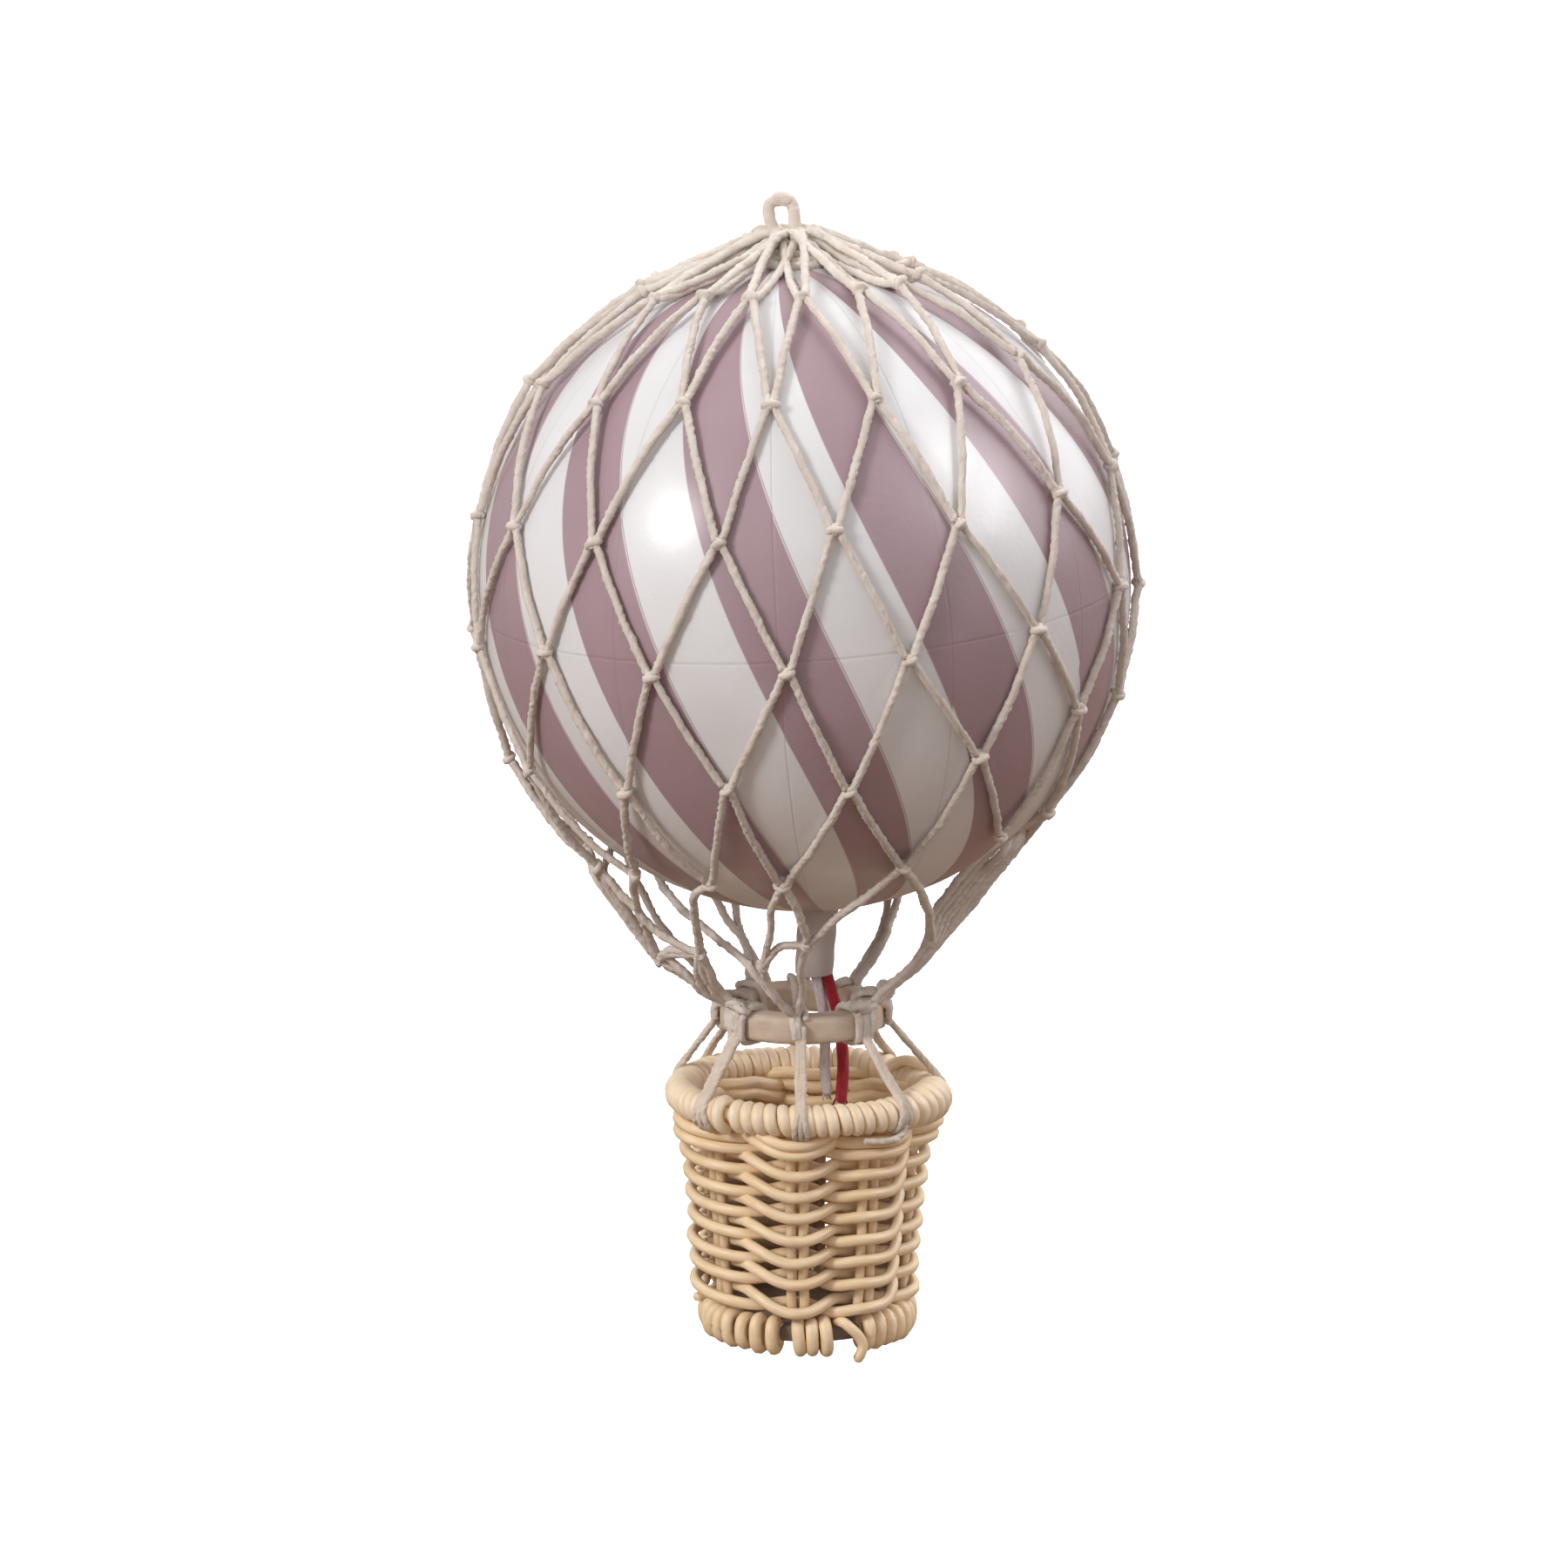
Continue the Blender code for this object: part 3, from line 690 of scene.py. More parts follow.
# %% Where the knots are
MESHES = 16
NET_ROWS = (66.0, 42.3, 18.4, -2.6, -24.5, -47.0)       # latitudes
NET_LEAN = math.radians(4.7)
NET_DRIFT = -1.0                # degrees that each row moves on
CORD, FUZZ = 0.65, 0.085        # a cord's radius, and how rough it is against that
KNOT_BULK = 0.35                # how far a knot lifts its cords
FRONT_SLIPS = (                 # degrees of azimuth and latitude, by the knot's column from the front
    {-3: (-5, 0), -2: (-1, 2), -1: (0, 1), 0: (-1, 0), 1: (2, 0), 2: (1, -1)},
    {-3: (-6, 1), -2: (-1, 0), -1: (0, 1), 0: (-2, 0), 1: (-1, -1), 2: (-2, -1), 3: (1, 0)},
    {-3: (-2, 1), -2: (-2, 0), -1: (0, 0), 0: (-2, 1), 1: (-2, -1), 2: (0, 0), 3: (2, 0)},
    {-3: (-6, -1), -2: (-1, 2), -1: (-1, -1), 0: (0, -1), 1: (-2, -1), 2: (1, 0), 3: (5, 2)},
    {-3: (-6, 0), -2: (0, -1), -1: (-1, 0), 0: (-1, -2), 1: (2, 1), 2: (4, 5), 3: (3, 3)},
    {-2: (-3, 0), -1: (-3, -2), 0: (-6, -3), 1: (3, -1), 2: (8, 2), 3: (7, 3)},
)
slips = np.random.default_rng(11)


def net_way(row, column):
    """The direction from the ball's centre to a knot."""
    front = column if column < MESHES / 2 else column - MESHES
    slip = FRONT_SLIPS[row].get(front, slips.uniform(-1.4, 1.4, 2))
    azimuth = (column + 0.5 * ((row + 1) % 2)) * 360 / MESHES + NET_DRIFT * row + slip[0]
    latitude = math.radians(NET_ROWS[row] + slip[1])
    x, y, z = polar(math.cos(latitude), azimuth, math.sin(latitude))
    c, s = math.cos(NET_LEAN), math.sin(NET_LEAN)
    return np.array((x * c - z * s, y, x * s + z * c))


UP = np.array((0.0, 0.0, 1.0))
KNOTS = {(row, column): net_way(row, column) for row in range(len(NET_ROWS)) for column in range(MESHES)}
print(len(KNOTS), "knots on the ball")

# %% [markdown]
# ### Cords between the knots
#
# A cord between two knots takes the shortest way over the ball, and rests on the paper with its underside.
# Two cords meet side by side in a knot, so each one ends a little to its own side of the middle.

# %% Net cords
TOP_LIFT, SHOULDER_LIFT, FOOT_LIFT = 0.75, 0.95, 2.3     # how far the cords bridge, in millimetres
SHOULDER, FOOT_SIDE = 36, -78                            # the shoulder's latitude and the foot's azimuth
CORD_GAP = 0.2


def stand_off(way):
    """How far a cord's middle stands off the paper. The net bridges at the crown and at the lower left."""
    azimuth, latitude = math.degrees(math.atan2(way[0], -way[1])), math.degrees(math.asin(way[2]))
    sideways = min(1.3 * math.sin(math.radians(azimuth)) ** 2, 1)
    crown = TOP_LIFT * min(max((latitude - 40) / 18, 0), 1)
    crown += SHOULDER_LIFT * sideways * math.exp(-((latitude - SHOULDER) / 13) ** 2)
    foot = FOOT_LIFT * min(max((-latitude - 18) / 27, 0), 1) * math.exp(-((azimuth - FOOT_SIDE) / 42) ** 2)
    return CORD + CORD_GAP + crown + foot


def over_ball(start, end, parts=14):
    """Points of a cord that rests on the ball from one direction to another."""
    angle = math.acos(np.clip(start.dot(end), -1, 1))
    t = np.linspace(0, 1, parts)
    ways = unit((np.sin((1 - t) * angle)[:, None] * start + np.sin(t * angle)[:, None] * end) / math.sin(angle))
    near = np.minimum(t, 1 - t) * angle * BALL_RADIUS
    height = np.array([stand_off(way) for way in ways]) + KNOT_BULK * np.exp(-(near / 1.4) ** 2)
    return BALL + ways * (BALL_RADIUS + height)[:, None]


def knot_middle(way):
    return BALL + way * (BALL_RADIUS + stand_off(way) + KNOT_BULK)


def beside_knot(way, toward, side):
    """A direction just beside a knot, on the side of the cord that goes there."""
    down = unit(toward - way * toward.dot(way))
    aside = unit(np.cross(way, UP))
    return unit(way + (aside * side * 0.34 + down * 0.2) / BALL_RADIUS)


def make_net():
    net = Skein(21, plies=3, step=0.42, rough=FUZZ)
    for row in range(len(NET_ROWS) - 1):
        for column in range(MESHES):
            for side in (0, 1):
                below = (column - (row % 2) + side) % MESHES
                start, end = KNOTS[row, column], KNOTS[row + 1, below]
                sign = -1 if side else 1
                line = over_ball(beside_knot(start, end, sign), beside_knot(end, start, -sign))
                net.strand(line, CORD * net.chance.uniform(0.93, 1.08), wander=0.05)
    return net.make("net_cords", cotton, "balloon", ("net",))


make_net()
print("the net's cords have", triangles["net_cords"], "triangles")

# %% [markdown]
# ### Knots
#
# Close up, each knot is a turn of cord pulled tight across the two cords that it holds, with a small lump
# where they pass through. It is modelled as that: a short thick core along the cords, and a band that
# lies across it, tipped at random, with its ends tucked behind.

# %% Net knots
KNOT_CORE = ((0.95, -0.1), (0.3, 0.12), (-0.3, 0.12), (-0.95, -0.1))      # up along the cords, and out from the ball


def knot_band(skein, middle, out, up, width=0.82, depth=0.66, rise=0.8, radius=0.56):
    """A tight turn of cord across a knot, over a short core. Out points away from the ball."""
    out = unit(out)
    up = unit(up - out * up.dot(out))
    tip = skein.chance.uniform(-0.45, 0.45)
    aside = np.cross(up, out)
    across, upward = aside * math.cos(tip) - up * math.sin(tip), up * math.cos(tip) + aside * math.sin(tip)
    turn = np.linspace(-0.42, 0.72, 18) * 2 * math.pi
    share = np.linspace(-0.5, 0.5, 18)
    size = skein.chance.uniform(0.88, 1.15)
    band = (middle + across * (size * width * np.sin(turn))[:, None] + out * (depth * np.cos(turn))[:, None]
            + upward * (size * rise * share)[:, None])
    skein.strand(band, radius * size)
    skein.bent([middle + up * lift + out * bulge for lift, bulge in KNOT_CORE], 0.74 * size, 4)


def make_knots():
    knots = Skein(22, sides=8, step=0.36, rough=0.11)
    for way in KNOTS.values():
        knot_band(knots, knot_middle(way), way, UP)
    return knots.make("net_knots", cotton, "balloon")


make_knots()
print("the knots have", triangles["net_knots"], "triangles")

# %% [markdown]
# ## The crown and its loop
#
# At the top the sixteen top knots send up two cords each. They rise off the ball in two layers, dive
# under a binding and make a low hump, and one doubled cord stands up out of it as the loop that the
# toy hangs by. The lower layer starts a little deeper, so that the eye finds shadow between the cords.

# %% Crown
UPPER_LAYER = ((20.2, -10.6), (18.0, -9.85), (13.7, -7.85), (9.0, -5.9), (6.2, -4.6), (4.2, -3.75), (2.6, -3.7),
               (1.2, -4.3))
LOWER_LAYER = ((20.2, -10.6), (17.6, -10.6), (13.7, -9.6), (9.0, -8.1), (5.8, -6.7), (4.0, -5.5), (2.6, -5.1),
               (1.2, -5.4))
BINDING = ((3.0, -4.3), (3.2, -5.2), (2.8, -6.1), (4.2, -6.7), (5.4, -7.5), (6.5, -8.0))   # radius and height


def make_crown():
    crown = Skein(31, plies=3, rough=FUZZ)
    # A brighter copy of the cotton for the crown: painted light, for the light that falls on the top of the toy.
    crown_cotton_painted_light = cotton_finish("crown_cotton_painted_light", (1.0, 0.95, 0.89), (0.86, 0.73, 0.59))
    for column in range(MESHES):
        knot = knot_middle(KNOTS[0, column])
        azimuth = math.degrees(math.atan2(knot[0] - CROWN[0], -knot[1]))
        reach = math.hypot(knot[0] - CROWN[0], knot[1])
        beside = polar(1, azimuth + 90, 0)
        for side in (-1, 1):
            layer = UPPER_LAYER if (column + (side > 0)) % 2 else LOWER_LAYER
            splay = crown.chance.uniform(0.7, 1.2)
            line = []
            for index, (radius, height) in enumerate(layer):
                share = index / (len(layer) - 1)
                fade = (1 - share) ** 2
                spot = polar(radius + (reach - layer[0][0]) * fade, azimuth,
                             height + (knot[2] - layer[0][1]) * fade, CROWN[0])
                line.append(spot + beside * side * (0.3 + splay * math.sin(share * 2.4)))
            crown.bent(line, CORD * crown.chance.uniform(1.02, 1.2), wander=0.05)
        if abs(math.sin(math.radians(azimuth))) > 0.5:
            between = [polar(radius, azimuth + 8 * math.sin(math.pi * index / 7), (upper + lower) / 2 - 0.3, CROWN[0])
                       for index, ((radius, upper), (_, lower)) in enumerate(zip(UPPER_LAYER, LOWER_LAYER))]
            between[0] = knot
            crown.bent(between, CORD * 1.1, wander=0.08)
    for turn, (radius, height) in enumerate(BINDING):
        around = np.linspace(0, 360, 40, endpoint=False)
        line = np.array([polar(radius + 0.12 * math.sin(math.radians(3 * a + 70 * turn)), a,
                               height + 0.15 * math.sin(math.radians(2 * a + 50 * turn)), CROWN[0]) for a in around])
        crown.strand(np.vstack((line, line[:1])), 0.8, closed=True)
    return crown.make("crown_gather", crown_cotton_painted_light, "balloon", ("net_crown",))


make_crown()
print("the crown has", triangles["crown_gather"], "triangles")

# %% [markdown]
# ### The hanging loop
#
# The loop goes up on the left, over, and down on the right, and is doubled along its top and right side. A strand
# crosses under its opening, a small lump of cotton sits beside its left foot, and a shoulder runs off to
# the right. Each is a short strand through a few places.

# %% Loop
LOOP_STRANDS = (        # radius, and the places that the strand passes through
    (0.94, ((-1.0, 0.1, -4.6), (-1.35, 0.0, -3.2), (-1.85, 0.0, -1.6), (-1.95, 0.0, -0.3), (-1.55, 0.0, 0.6),
            (-0.5, 0.0, 0.95), (0.6, 0.0, 0.95), (1.45, 0.0, 0.5), (1.8, 0.0, -0.4), (1.9, 0.0, -1.6),
            (2.0, 0.0, -3.2), (2.1, 0.1, -4.6))),
    (1.02, ((-1.5, -0.1, 1.2), (-0.5, -0.15, 1.35), (0.5, -0.15, 1.25), (1.2, 0.0, 0.8), (1.55, 0.0, 0.0))),
    (0.95, ((1.6, -0.05, 0.6), (1.9, -0.1, -0.8), (2.0, -0.15, -2.2), (2.2, -0.1, -4.0))),
    (0.8, ((-3.0, -0.3, -4.2), (-2.0, -0.6, -3.85), (0.2, -0.7, -3.9), (2.4, -0.6, -3.7), (3.6, -0.3, -4.1))),
    (0.5, ((-4.4, 0.2, -4.1), (-3.6, 0.5, -3.4), (-2.7, 0.2, -3.3), (-2.2, -0.4, -3.9))),
    (0.78, ((2.6, 0.6, -3.6), (4.0, 0.9, -3.6), (6.0, 0.9, -4.6), (9.5, 0.8, -6.2), (13.0, 0.6, -7.9))),
)


def make_loop():
    loop = Skein(32, sides=12, step=0.35, rough=0.03)
    for radius, places in LOOP_STRANDS:
        loop.bent(places, radius)
    return loop.make("hanging_cord_loop", cotton, "balloon", ("hanging_loop",))


make_loop()
print("the loop has", triangles["hanging_cord_loop"], "triangles")

# %% [markdown]
# ## The legs of the net
#
# Below the ball the net lets go of the paper. Its cords run down as a loose cone, meet in a last round of
# knots, and gather in bundles at the ring. No rule of the net fits this part: at the front each cord is
# laid along the way it takes on the real toy, and the cords behind follow the same plan
# with small differences. Each place is given by azimuth, radius and height about the ball's axis.

# %% The last round of knots
TOP_KNOT = len(NET_ROWS) - 1
GATHERS = {"front": (1.5, 24.3, -109.2), "middle": (-17, 20.9, -113.4), "left": (-47, 21.4, -112.8),
           "far left": (-78, 22.6, -116.2), "right": (61, 22.4, -111.6)}
print(len(GATHERS), "knots between the ball and the ring")

# %% Ways of the cords
# Each cord starts at a knot of the lowest row, given by its column, at one of the knots above or at a place,
# passes through places, and ends at such a knot or on the ring at an azimuth.


def band(share):
    """Places of one cord in the wide band at the right. Share 0 is the inner edge and 1 the outer edge."""
    inner = np.array(((74, 30.9, -96.4), (74, 25.9, -101.6), (74, 21.0, -108.3), (74, 19.5, -113.6),
                      (74, 17.1, -117.5)))
    outer = np.array(((100, 34.6, -99.8), (100, 30.8, -104.5), (100, 25.6, -110.8), (100, 21.1, -115.8),
                      (100, 17.6, -119.4)))
    return tuple(inner + (outer - inner) * share)


LEG_CORDS = (
    ((0, ((-2, 30.1, -102.0), (1, 26.1, -106.9)), "front"),
     (1, ((16, 30.9, -101.1), (10, 28.3, -104.2)), "front"),
     ("front", ((0, 22.8, -111.0), (-1, 19.7, -114.4), (0, 16.4, -117.8)), -3.0),
     ("front", ((-7, 24.1, -109.3), (-12, 22.7, -111.0)), "middle"),
     (0, ((-9, 30.1, -102.1), (-11, 26.0, -107.0)), "middle"),
     ("middle", ((-18, 17.6, -117.0), (-13, 15.2, -120.4)), -6.0)),
    ((1, ((34, 31.6, -100.3), (45, 27.1, -105.6)), "right"),
     ("right", ((66, 18.8, -115.8),), 56.0),
     ("right", ((73, 18.6, -116.0),), 78.0)),
    tuple((start, band(share), 84.0 + 19.0 * share) for start, share in
          ((3, 0.0), (3, 0.14), (6, 0.28), (5, 0.42), (5, 0.57), (5, 0.71), (4, 0.86), (4, 1.0))),
    (((147, 27.6, -104.4), ((144, 22.8, -112.2), (142, 20.6, -114.8), (138, 17.2, -117.6)), 141.0),
     ((143, 27.9, -104.1), ((140, 23.2, -111.4), (138, 20.3, -114.7), (134, 17.3, -117.6)), 136.0)),
    ((8, ((175, 26.0, -108.0), (174, 17.0, -118.0)), 176.0),
     (7, ((166, 25.0, -108.5), (172, 17.0, -118.0)), 179.0)),
    ((-6, ((-142, 22.1, -111.8), (-146, 16.4, -117.8)), -140.0),
     (-7, ((-150, 21.3, -112.7), (-148, 13.9, -120.6)), -146.0)),
    ((-4, ((-92, 31.5, -104.0), (-86, 26.4, -111.6)), "far left"),
     (-5, ((-98, 31.0, -103.5), (-86, 28.6, -108.3)), "far left"),
     (-3, ((-78, 31.4, -103.5), (-81, 26.8, -110.0)), "far left"),
     (-3, ((-75, 32.0, -102.5), (-76, 27.9, -108.6)), "far left"),
     (-2, ((-58, 30.4, -103.0), (-70, 25.8, -110.0)), "far left"),
     (-4, ((-84, 31.8, -103.6), (-82, 26.6, -110.8)), "far left"),
     (-3, ((-71, 31.2, -103.2), (-74, 26.8, -109.6)), "far left"),
     (-3, ((-66, 29.4, -105.0), (-60, 24.7, -110.5)), "left"),
     ("far left", ((-72, 18.7, -118.4),), -68.0),
     ("far left", ((-76, 17.9, -119.4),), -76.0),
     ("far left", ((-80, 17.2, -120.0),), -84.0),
     (-5, ((-112, 29.0, -105.0), (-104, 22.0, -114.0)), -96.0)),
    ((-1, ((-31, 31.4, -100.5), (-35, 28.8, -103.5)), "left"),
     ((-120, 28.5, -101.5), ((-85, 21.6, -105.2), (-50, 21.3, -107.9), (-33, 17.9, -113.0), (-22, 17.4, -116.6),
                             (-11, 14.6, -121.4)), -7.0),
     ("left", ((-50, 18.5, -116.6), (-55, 15.4, -120.2)), -52.0),
     ("left", ((-54, 18.6, -117.0), (-58, 15.8, -120.6)), -57.0),
     ("left", ((-59, 18.9, -117.4), (-63, 16.2, -121.0)), -63.0),
     ((-72, 22.6, -114.6), ((-66, 19.6, -117.6), (-66, 16.4, -121.2)), -66.0),
     ("far left", ((-64, 22.6, -113.3),), "left"),
     ("far left", ((-66, 22.4, -114.2),), "left")),
)


def last_knot(column):
    return knot_middle(KNOTS[TOP_KNOT, column % MESHES])


def ring_top(azimuth):
    """A point on the ring's top outer edge, where a leg meets its lashing."""
    return polar(RING_OUTER - 0.1, azimuth, RING[2] + RING_HALF_HEIGHT + 0.6, RING[0])


def end_of(what):
    """The last points of a cord: a knot, a place, or the way over the ring's edge and down its outside."""
    if isinstance(what, (str, tuple)):
        return [about_ball(*GATHERS.get(what, what))]
    if isinstance(what, int):
        return [last_knot(what)]
    tie = min(FACE_TIES, key=lambda azimuth: abs((azimuth - what + 180) % 360 - 180))
    drawn = tie + ((what - tie + 180) % 360 - 180) * 0.45
    return [ring_top(what), polar(RING_OUTER + 0.75, (what + drawn) / 2 if abs(what - drawn) < 90 else drawn,
                                  RING[2] + RING_HALF_HEIGHT - 1.0, RING[0]),
            polar(RING_OUTER + 0.7, drawn, RING[2] - 1.2, RING[0])]


def make_leg(index):
    leg = Skein(50 + index, plies=3, rough=FUZZ)
    knotted = set()
    for start, places, end in LEG_CORDS[index]:
        line = [*end_of(start), *(about_ball(*place) for place in places), *end_of(end)]
        leg.bent(line, CORD * leg.chance.uniform(0.98, 1.15), wander=0.07)
        knotted |= {end} if isinstance(end, str) else set()
    for name in sorted(knotted):
        middle = about_ball(*GATHERS[name])
        knot_band(leg, middle, unit(middle - BALL), UP, radius=0.55)
    leg.make("net_leg_cords_%d" % (index + 1), cotton, "balloon", ("net_leg_%d" % (index + 1),))


for index in range(8):
    make_leg(index)
print("the eight legs have", sum(n for name, n in triangles.items() if name.startswith("net_leg")), "triangles")

# %% [markdown]
# ## The wood ring
#
# The ring is a turned hoop of pale wood with its edges broken by sandpaper. Real turning leaves a soft
# radius of about a millimetre, and end grain and side grain follow each other round the hoop,
# because the hoop was cut from a flat board. So the grain is laid along the X axis, not round the ring.

# %% Wood finish and ring
wood = Finish("sanded_wood", Specular_IOR_Level=0.35)
wood_place = wood.place()
wood_rings = wood.noise(wood_place, 900.0, 3.0, (0.16, 1.0, 0.8))
wood_cloud = wood.noise(wood_place, 90.0, 2.0)
wood.wear(Base_Color=wood.blend((wood_rings * 0.8 + wood_cloud * 0.3).above(0.55, 0.28), (0.55, 0.435, 0.33),
                                (0.68, 0.565, 0.445)), Roughness=wood_rings * 0.2 + 0.5)
wood.bump(wood_rings, 0.1, 0.35)


def rounded_section(centre_radius, centre_z, half_width, half_height, edge, parts=5):
    """A rounded rectangle as a closed profile, clockwise from its top."""
    profile = []
    for corner, (x, z) in enumerate(((1, 1), (1, -1), (-1, -1), (-1, 1))):
        for part in range(parts):
            angle = math.radians(90 - corner * 90 - 90 * part / (parts - 1))
            profile.append((centre_radius + x * (half_width - edge) + edge * math.cos(angle),
                            centre_z + z * (half_height - edge) + edge * math.sin(angle)))
    return profile


RING_MIDDLE = RING_OUTER - RING_WALL / 2
SANDED_EDGE = 1.0
ring_section = rounded_section(RING_MIDDLE, RING[2], RING_WALL / 2, RING_HALF_HEIGHT, SANDED_EDGE)
turned("wood_ring", ring_section, 120, wood, "wood", "balloon", ("load_ring",), (RING[0], 0.0))
print("the ring has", triangles["wood_ring"], "triangles")

# %% [markdown]
# ## Lashings
#
# Each bundle of cords runs on down the ring's outer face, and a turn or two of cord binds it to the wood.
# A turn follows the ring's rounded section at the distance of half a cord, and it moves
# sideways by one cord per turn. The thicker bundles get a cluster of knots, and four cords down the ring's face.

# %% Lashings
RING_FOOT = RING[2] - RING_HALF_HEIGHT


def round_ring(azimuth, turn, away, azimuth_step=0.0):
    """A point on a turn round the ring's section. Turn 0 is on top, 0.25 outside, 0.5 below."""
    angle = 2 * math.pi * turn
    wide, tall = RING_WALL / 2 + away, RING_HALF_HEIGHT + away
    c, s = math.cos(angle), math.sin(angle)
    scale = (abs(s) ** 3.4 + abs(c) ** 3.4) ** (-1 / 3.4)
    return polar(RING_MIDDLE + wide * s * scale, azimuth + azimuth_step * turn, RING[2] + tall * c * scale, RING[0])


TWO_TURNS = (1, 2, 7)
PITCH = 5.4             # degrees from turn to turn
FACE_WAY = ((0.3, RING[2] + RING_HALF_HEIGHT + 0.3), (0.75, RING[2] + 0.8), (0.8, RING[2] - 1.0),
            (0.7, RING_FOOT - 0.2))     # off the ring's face, and height


def make_lashing(index):
    tie, turns = FACE_TIES[index], 2 if index in TWO_TURNS else 1
    lashing = Skein(70 + index, plies=3, rough=FUZZ)
    line = [round_ring(tie - PITCH * turns / 2, turn, 0.55 + 0.1 * math.sin(turn * 9 + index), PITCH)
            for turn in np.linspace(-0.1, turns + 0.15, 26 * turns)]
    lashing.strand(line, 0.6, wander=0.06)
    if turns > 1:
        out, top_z = polar(1, tie, 0) + UP * 0.5, round_ring(tie, 0.12, 1.2)[2]
        for lift, spread in ((0.5, -3.5), (0.0, 3.5)):
            spot = polar(RING_OUTER + 0.5, tie + spread, top_z + lift, RING[0])
            knot_band(lashing, spot, out, UP, width=1.2, depth=0.7, radius=0.66)
        for aside in (-1.2, -0.4, 0.4, 1.2):
            beside = polar(1, tie + 90, 0) * aside
            face = [polar(RING_OUTER + away, tie, height, RING[0]) + beside for away, height in FACE_WAY]
            lashing.bent(face, 0.6, wander=0.08)
    lashing.make("cord_lashing_%d" % (index + 1), cotton, "balloon", ("ring_lashing_%d" % (index + 1),))


for index in range(8):
    make_lashing(index)
print("eight lashings")

# %% [markdown]
# ## Stays
#
# Eight soft cords of three strands carry the basket. Each leaves its lashing, runs straight to the basket's rim,
# spreads a little over the cane and is tucked in underneath.

# %% Stays
STAY_AWAY = RIM_SECTION + 0.3
NOD, SINK = 0.35, 0.1                           # how the hoop leans to the front, and its drop, in millimetres
SLACK_AT, SLACK_REACH, SLACK_IN, SLACK_DOWN = 112, 26, 0.9, 1.0
DRIFTS = {1: -4.0, 6: -18.0}                    # degrees that a stay moves round the basket on its way down
WIDTHS = {7: 1.45, 1: 1.1, 2: 1.35, 6: 1.3}     # how wide its three strands lie, against the others
UNDER = math.radians(-112)      # how far round the rim a stay is tucked
TAIL = ((43, 2.2, -139.2), (42, 2.2, -140.6), (38, 2.0, -141.4), (32, 1.7, -141.4), (27, 1.4, -141.3),
        (24, 1.0, -141.2))      # azimuth, distance from the rim's middle and height of one loose end
# A warmer copy of the cotton for the stays: painted shade, for the warm shade that they hang in.
stay_cotton_painted_shade = cotton_finish("stay_cotton_painted_shade", (0.95, 0.83, 0.70), (0.78, 0.63, 0.50))


def hoop_middle(azimuth):
    """The middle of the rim's section. The hoop nods to the front, and sags at the right."""
    slack = math.exp(-(((azimuth + 180) % 360 - 180 - SLACK_AT) / SLACK_REACH) ** 2)
    nod = NOD * math.cos(math.radians(azimuth)) - SINK
    return polar(RIM_RADIUS - SLACK_IN * slack, azimuth, RIM[2] + nod - SLACK_DOWN * slack, RIM[0])


def stay_line(face, azimuth, drift, aside):
    """Down the ring's face to the rim, round its outer side and under it. Also the ways out of the rim."""
    landing = azimuth + drift
    shift = (RING[0] - RIM[0]) * math.sin(math.radians(azimuth))
    start_radius = RING_OUTER + 0.8 + shift
    start_z = RING_FOOT + 0.6
    across, rise = start_radius - RIM_RADIUS, start_z - RIM[2]
    tangent = math.atan2(rise, across) - math.acos(STAY_AWAY / math.hypot(across, rise))
    first = polar(math.cos(tangent), azimuth, math.sin(tangent))
    beside = polar(1, azimuth + 90, 0)
    line = [polar(RING_OUTER + 0.7, face, RING[2] + RING_HALF_HEIGHT - 1.0, RING[0]) + beside * aside * 0.45,
            polar(RING_OUTER + 0.8, face, start_z, RING[0]) + beside * aside * 0.4]
    ways = [first, first]
    for share in np.linspace(0, 1, 9):
        angle = tangent + (UNDER - tangent) * share
        way = polar(math.cos(angle), landing, math.sin(angle))
        spread = 0.42 + 0.5 * math.sin(math.pi * share) ** 2
        line.append(hoop_middle(landing) + way * STAY_AWAY + beside * aside * spread)
        ways.append(way)
    return line, ways


def make_stay(index):
    azimuth = TIE_AZIMUTHS[index]
    drift, width = DRIFTS.get(index, 0.0), WIDTHS.get(index, 1.0)
    stay = Skein(90 + index, plies=3, sides=12, rough=0.08)
    for aside in (-width, 0, width):
        line, ways = stay_line(FACE_TIES[index], azimuth, drift, aside)
        stay.strand(line, stay.chance.uniform(0.5, 0.58) * (1 + width) / 2, flat=0.85, out=ways, wander=0.06)
    if index == 1:
        tail = [polar(RIM_RADIUS + away, around, height, RIM[0]) for around, away, height in TAIL]
        stay.bent(tail, 0.6, wander=0.1)
    piece = stay.make("cord_stay_%d" % (index + 1), stay_cotton_painted_shade, None, ("basket_stay_%d" % (index + 1),))
    start = polar(RING_OUTER, azimuth, RING_FOOT - 1.0, RING[0])
    end = polar(RIM_RADIUS, azimuth + drift, RIM[2] + RIM_SECTION, RIM[0])
    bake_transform(piece)


for index in range(8):
    make_stay(index)
print("eight stays")

# %% [markdown]
# ## Cane
#
# Rattan cane is smooth, warm and slightly waxy. Its colour runs in long pale streaks, because it is
# the split core of a vine, and it darkens a little here and there. The streaks follow the strand's own map,
# stretched along it. Low inside the basket the cane is painted darker where the normal points back to the axis:
# this is painted shade, for the shade inside the basket.

# %% Cane finish
# Painted shade inside the basket: its dark colour, and the depth below the hook where it starts
PAINTED_INSIDE_SHADE, PAINTED_SHADE_TOP = (0.30, 0.19, 0.12), 150.0
WALL = 16.0                     # the basket's radius where the inside darkens


